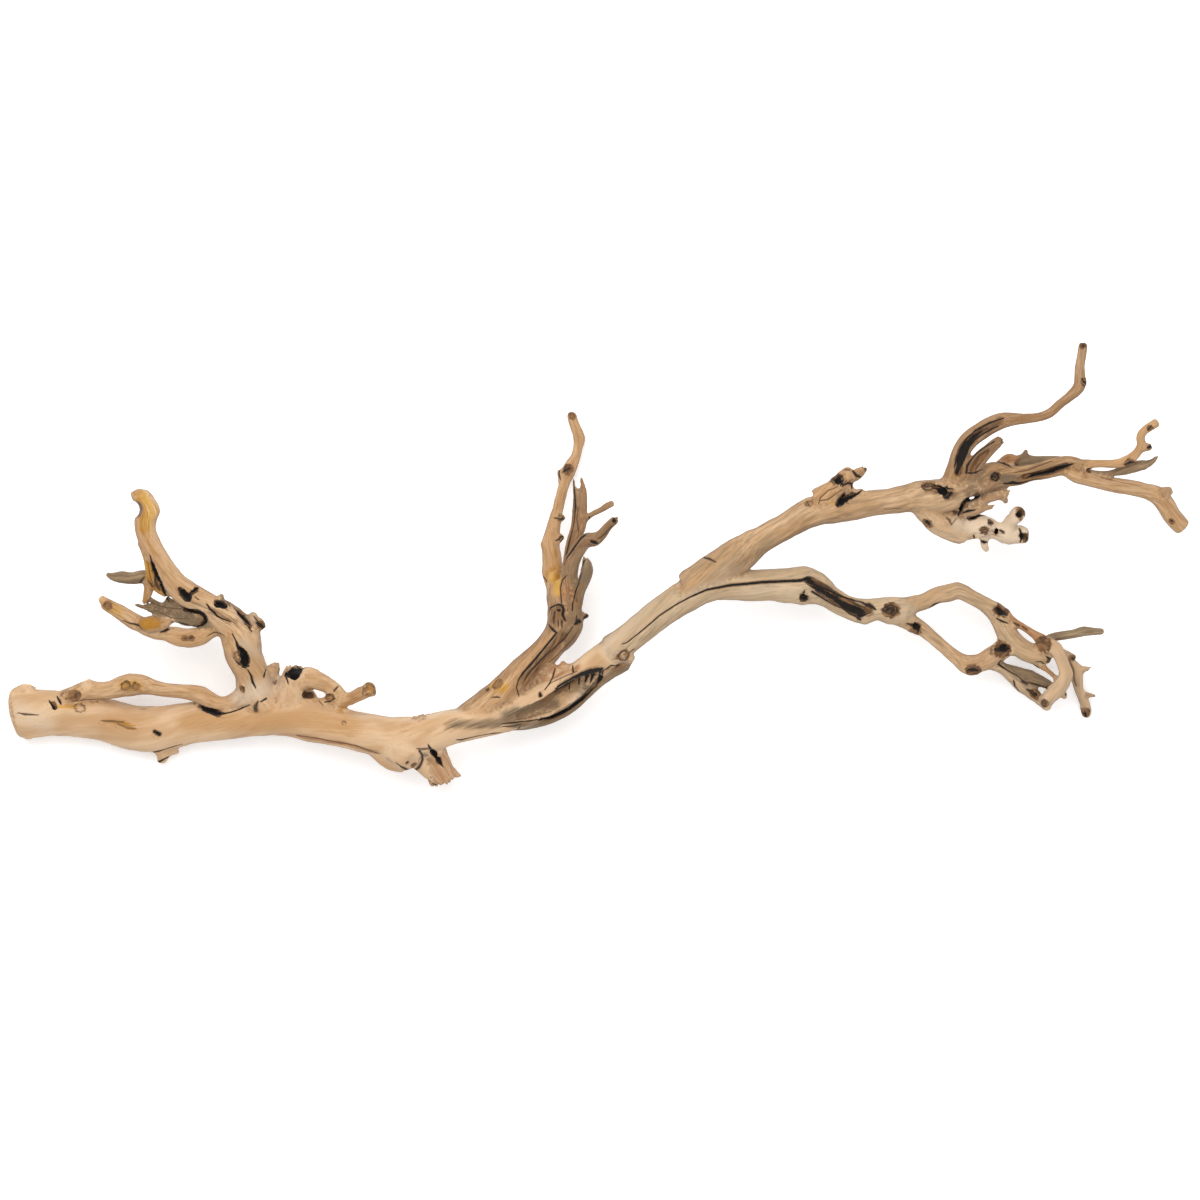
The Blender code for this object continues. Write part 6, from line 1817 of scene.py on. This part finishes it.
# %% The masks, with their edges broken up by the fibres
MASK_EDGES = {
    "golden": (0.2, 0.9), "grey": (0.2, 0.9), "rusty": (0.2, 0.9), "warm": (-0.05, 1.15), "pale": (0, 1.05),
    "ashen": (0.1, 1.0), "brown": (0.15, 0.85), "black": (0.3, 0.75), "dusky_and_shade": (-0.1, 1.1),
}
EDGE_NOISE = 0.6
both_grains = maths("ADD", pattern["streaks"], pattern["fibres"])
uneven = between(both_grains, 0.6, 1.4, -EDGE_NOISE / 2, EDGE_NOISE / 2)
mask = {}
for name, (low, high) in MASK_EDGES.items():
    inside = between(stored[name], 0.02, 0.15)
    mask[name] = between(maths("ADD", stored[name], maths("MULTIPLY", uneven, inside)), low, high)
print("masks with broken edges:", len(mask))

# %% Cracks and shadow lines, drawn thin in painted shade
# A crack is black within one half width of its middle, with a brown halo to a little over two: painted shade
# of its gap, and of the shadow lines in the same table.
waver = between(pattern["flecks"], 0.3, 0.7, -0.15, 0.15)
sides = add("ShaderNodeSeparateXYZ", {0: crack_sides}).outputs
blacks = add("ShaderNodeSeparateXYZ", {0: crack_and_shade_blacks}).outputs
crack_and_shade_line = crack_and_shade_halo = 0.0
for side, blackness in zip(sides, blacks):
    from_crack = maths("ADD", maths("ABSOLUTE", side, 0), waver)
    line = maths("MULTIPLY", between(from_crack, 1.15, 0.75), blackness)
    halo = maths("MULTIPLY", between(from_crack, 2.4, 0.8, 0, 0.75), blackness)
    crack_and_shade_line = maths("MAXIMUM", line, crack_and_shade_line)
    crack_and_shade_halo = maths("MAXIMUM", halo, crack_and_shade_halo)
print("sets of cracks drawn:", len(sides))

# %% Growth rings and rays on the sawn end
RING_STEP = 1.5 * MM
RING_WAVER = 5


def vector_maths(operation, inputs, output="Vector"):
    return add("ShaderNodeVectorMath", inputs, operation=operation).outputs[output]


across_limb = vector_maths("MULTIPLY", {0: grain_place, 1: (0, 1, 1)})
from_pith = vector_maths("LENGTH", {0: across_limb}, "Value")
outwards = vector_maths("NORMALIZE", {0: across_limb})


def fanned_noise(rays, length):
    """Noise in cells that run out from the pith, about this many in a radian and this long."""
    turned = vector_maths("SCALE", {0: outwards, "Scale": rays})
    run = add("ShaderNodeCombineXYZ", {"X": maths("DIVIDE", from_pith, length)}).outputs["Vector"]
    place = vector_maths("ADD", {0: turned, 1: run})
    return add("ShaderNodeTexNoise", {"Vector": place, "Scale": 1, "Detail": 2}).outputs["Fac"]


rays = fanned_noise(15, 16 * MM)
uneven_ring = maths("MULTIPLY", pattern["clouds"], RING_WAVER)
turns = maths("ADD", maths("MULTIPLY", from_pith, math.tau / RING_STEP), uneven_ring)
off_check = maths("ABSOLUTE", maths("SUBTRACT", fanned_noise(1.6, 70 * MM), 0.5), 0)
check = maths("MULTIPLY", between(off_check, 0.012, 0.005), between(from_pith, 14 * MM, 9 * MM, 0, 0.8))
end_grain = mixed(pattern["clouds"], colour("C6A078"), colour("B48C62"))
end_grain = mixed(between(maths("SINE", turns, 0), -0.4, 1, 0, 0.22), end_grain, colour("94693F"))
end_grain = mixed(between(rays, 0.52, 0.4, 0, 0.4), end_grain, colour("94693F"))
end_grain = mixed(between(rays, 0.52, 0.68, 0, 0.6), end_grain, colour("DCC09A"))
pith = between(from_pith, 2 * MM, 0.9 * MM, 0, 0.9)
end_grain = mixed(maths("MAXIMUM", check, pith), end_grain, colour("4A3322"))
print("a growth ring is", RING_STEP / MM, "mm wide")

# %% The layers of colour
# Sound wood: cream and tan clouds, tinted by three masks, with streaks, fibres and flecks over all of them.
body = mixed(between(pattern["clouds"], 0.35, 0.65), colour("C19A71"), colour("D6B48F"))
body = mixed(mask["warm"], body, mixed(pattern["streaks"], colour("B58752"), colour("C2976A")))
body = mixed(mask["ashen"], body, mixed(pattern["clouds"], colour("AE9877"), colour("C4AE90")))
body = mixed(mask["pale"], body, mixed(pattern["clouds"], colour("CDB498"), colour("DFCAB0")))
body = mixed(between(pattern["streaks"], 0.5, 0.75, 0, 0.22), body, colour("A17A50"))
body = mixed(between(pattern["fibres"], 0.58, 0.76, 0, 0.22), body, colour("7E5835"))
body = mixed(between(pattern["flecks"], 0.6, 0.72, 0, 0.3), body, colour("C08B4A"))
# Old split wood, the golden heads and fresh breaks.
old_grey = mixed(between(pattern["fibres"], 0.4, 0.62), colour("6A553C"), colour("917C5E"))
old_grey = mixed(between(pattern["streaks"], 0.42, 0.66), old_grey, colour("75604A"))
gold = mixed(between(pattern["clouds"], 0.4, 0.65), colour("A87425"), colour("C99A45"))
gold = mixed(between(pattern["fibres"], 0.5, 0.72, 0, 0.6), gold, colour("8A5A1E"))
rust = mixed(between(pattern["fibres"], 0.4, 0.65), colour("8A5B38"), colour("B2845A"))
# Dusky wood is the same wood, only darker, so its colour multiplies what lies under it. The same layer
# carries painted shade on steep sides, in grain valleys, seams and hollows, and a painted highlight.
dusk_and_shade = mixed(between(pattern["streaks"], 0.4, 0.65), colour("9C9288"), colour("ABA299"))
layers = mixed(mask["dusky_and_shade"], body, dusk_and_shade, "MULTIPLY")
for name, layer in (("grey", old_grey), ("rusty", rust), ("golden", gold)):
    layers = mixed(mask[name], layers, layer)
layers = mixed(stored["sawn"], layers, end_grain)
# Brown and black lie on top of everything: rot in hollows, the knots' brown and black, and painted shade in
# creases, hollows, seams and cracks.
dust_and_shade_brown = mixed(between(pattern["streaks"], 0.4, 0.62), colour("553A22"), colour("8A6440"))
layers = mixed(maths("MAXIMUM", mask["brown"], crack_and_shade_halo), layers, dust_and_shade_brown)
layers = mixed(maths("MAXIMUM", mask["black"], crack_and_shade_line), layers, colour("17110C"))
print("nodes up to the colour:", len(wood.node_tree.nodes))

# %% Finish: matt, with the fibres as a fine bump
# Wood's index of refraction is about 1.5. Blasted fibres scatter nearly all light, so the roughness is high
# and the specular low: no highlight runs along a limb. A little sheen stands for the fibre ends at its edges.
ROUGHNESS = 0.8
FIBRE_HEIGHT = 0.2 * MM
CRACK_HEIGHT = 0.5 * MM
fine = add("ShaderNodeBump", {
    "Height": maths("ADD", pattern["fibres"], pattern["streaks"]), "Strength": 0.5, "Distance": FIBRE_HEIGHT,
}).outputs["Normal"]
bump = add("ShaderNodeBump", {
    "Height": crack_and_shade_line, "Strength": 0.8, "Distance": CRACK_HEIGHT, "Normal": fine,
}, invert=True).outputs["Normal"]
shader = add("ShaderNodeBsdfPrincipled", {
    "Base Color": layers, "Roughness": ROUGHNESS, "Normal": bump, "IOR": 1.5, "Specular IOR Level": 0.3,
    "Sheen Weight": 0.12, "Sheen Roughness": 0.5,
})
add("ShaderNodeOutputMaterial", {"Surface": shader.outputs["BSDF"]})
branch.data.materials.clear()
branch.data.materials.append(wood)
print("nodes in the wood:", len(wood.node_tree.nodes))

# %% Hand the branch over to the part
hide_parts(PART)
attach(branch, "root")
print(branch.name, "takes the place of", PART)

# %% [markdown]
# ## Floor, light and camera
#
# The branch lies on a plain white light table, whose faint glow swallows most of the shadows. One large soft
# light comes from the top left so that the limbs look round. The camera hangs straight above, far away, with
# a long lens, so that high limbs don't grow towards the edges of the picture.

# %% Floor and lights
FLOOR_SIZE = 6
PAPER_GLOW = 0.3
ROOM_LIGHT = 0.6
deselect()
bpy.ops.mesh.primitive_plane_add(size=FLOOR_SIZE, location=(0, 0, 0))
floor = bpy.context.object
floor.name = "floor"
paper = bpy.data.materials.new("white_paper")
paper.use_nodes = True
PAPER = {
    "Base Color": colour("FAFAFA"), "Roughness": 0.95,
    "Emission Color": colour("FFFFFF"), "Emission Strength": PAPER_GLOW,
}
for name, value in PAPER.items():
    paper.node_tree.nodes["Principled BSDF"].inputs[name].default_value = value
floor.data.materials.append(paper)
floor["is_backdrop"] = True

LIGHTS = {"window": ((-0.5, 0.9, 2.3), 1.8, 42), "fill": ((1.0, -0.5, 2.2), 2.2, 10)}
for name, (place, size, watts) in LIGHTS.items():
    bpy.ops.object.light_add(type="AREA", location=place)
    light = bpy.context.object
    light.name = name
    light.data.size = size
    light.data.energy = watts
    light.rotation_euler = (-Vector(place)).to_track_quat("-Z", "Y").to_euler()
world = bpy.data.worlds.new("soft_room")
world.use_nodes = True
world.node_tree.nodes["Background"].inputs["Color"].default_value = (1, 1, 1, 1)
world.node_tree.nodes["Background"].inputs["Strength"].default_value = ROOM_LIGHT
bpy.context.scene.world = world
bpy.context.scene.view_settings.view_transform = "Standard"
print("lights:", {name: f"{watts} W" for name, (_, _, watts) in LIGHTS.items()})

# %% Camera
PICTURE_WIDTH = 0.8
PICTURE_CENTRE = (0.67 * MM, -24 * MM)
BRANCH_MIDDLE_HEIGHT = 0.05
CAMERA_DISTANCE = 9
SENSOR = 36
camera_height = BRANCH_MIDDLE_HEIGHT + CAMERA_DISTANCE
bpy.ops.object.camera_add(location=(*PICTURE_CENTRE, camera_height), rotation=(0, 0, 0))
camera = bpy.context.object
camera.data.sensor_width = SENSOR
camera.data.lens = SENSOR * CAMERA_DISTANCE / PICTURE_WIDTH
camera.data.clip_end = 2 * CAMERA_DISTANCE
bpy.context.scene.camera = camera
print(f"lens {camera.data.lens:.0f} mm at {CAMERA_DISTANCE} m")

# %% Print both boxes, and finish
visual_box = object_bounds()
boxes = [[list(corner) for corner in box] for box in (cad_box, visual_box)]
for title, box in zip(("solid", "visual"), boxes):
    print(title, "box in mm:", [[round(side / MM, 1) for side in corner] for corner in box])
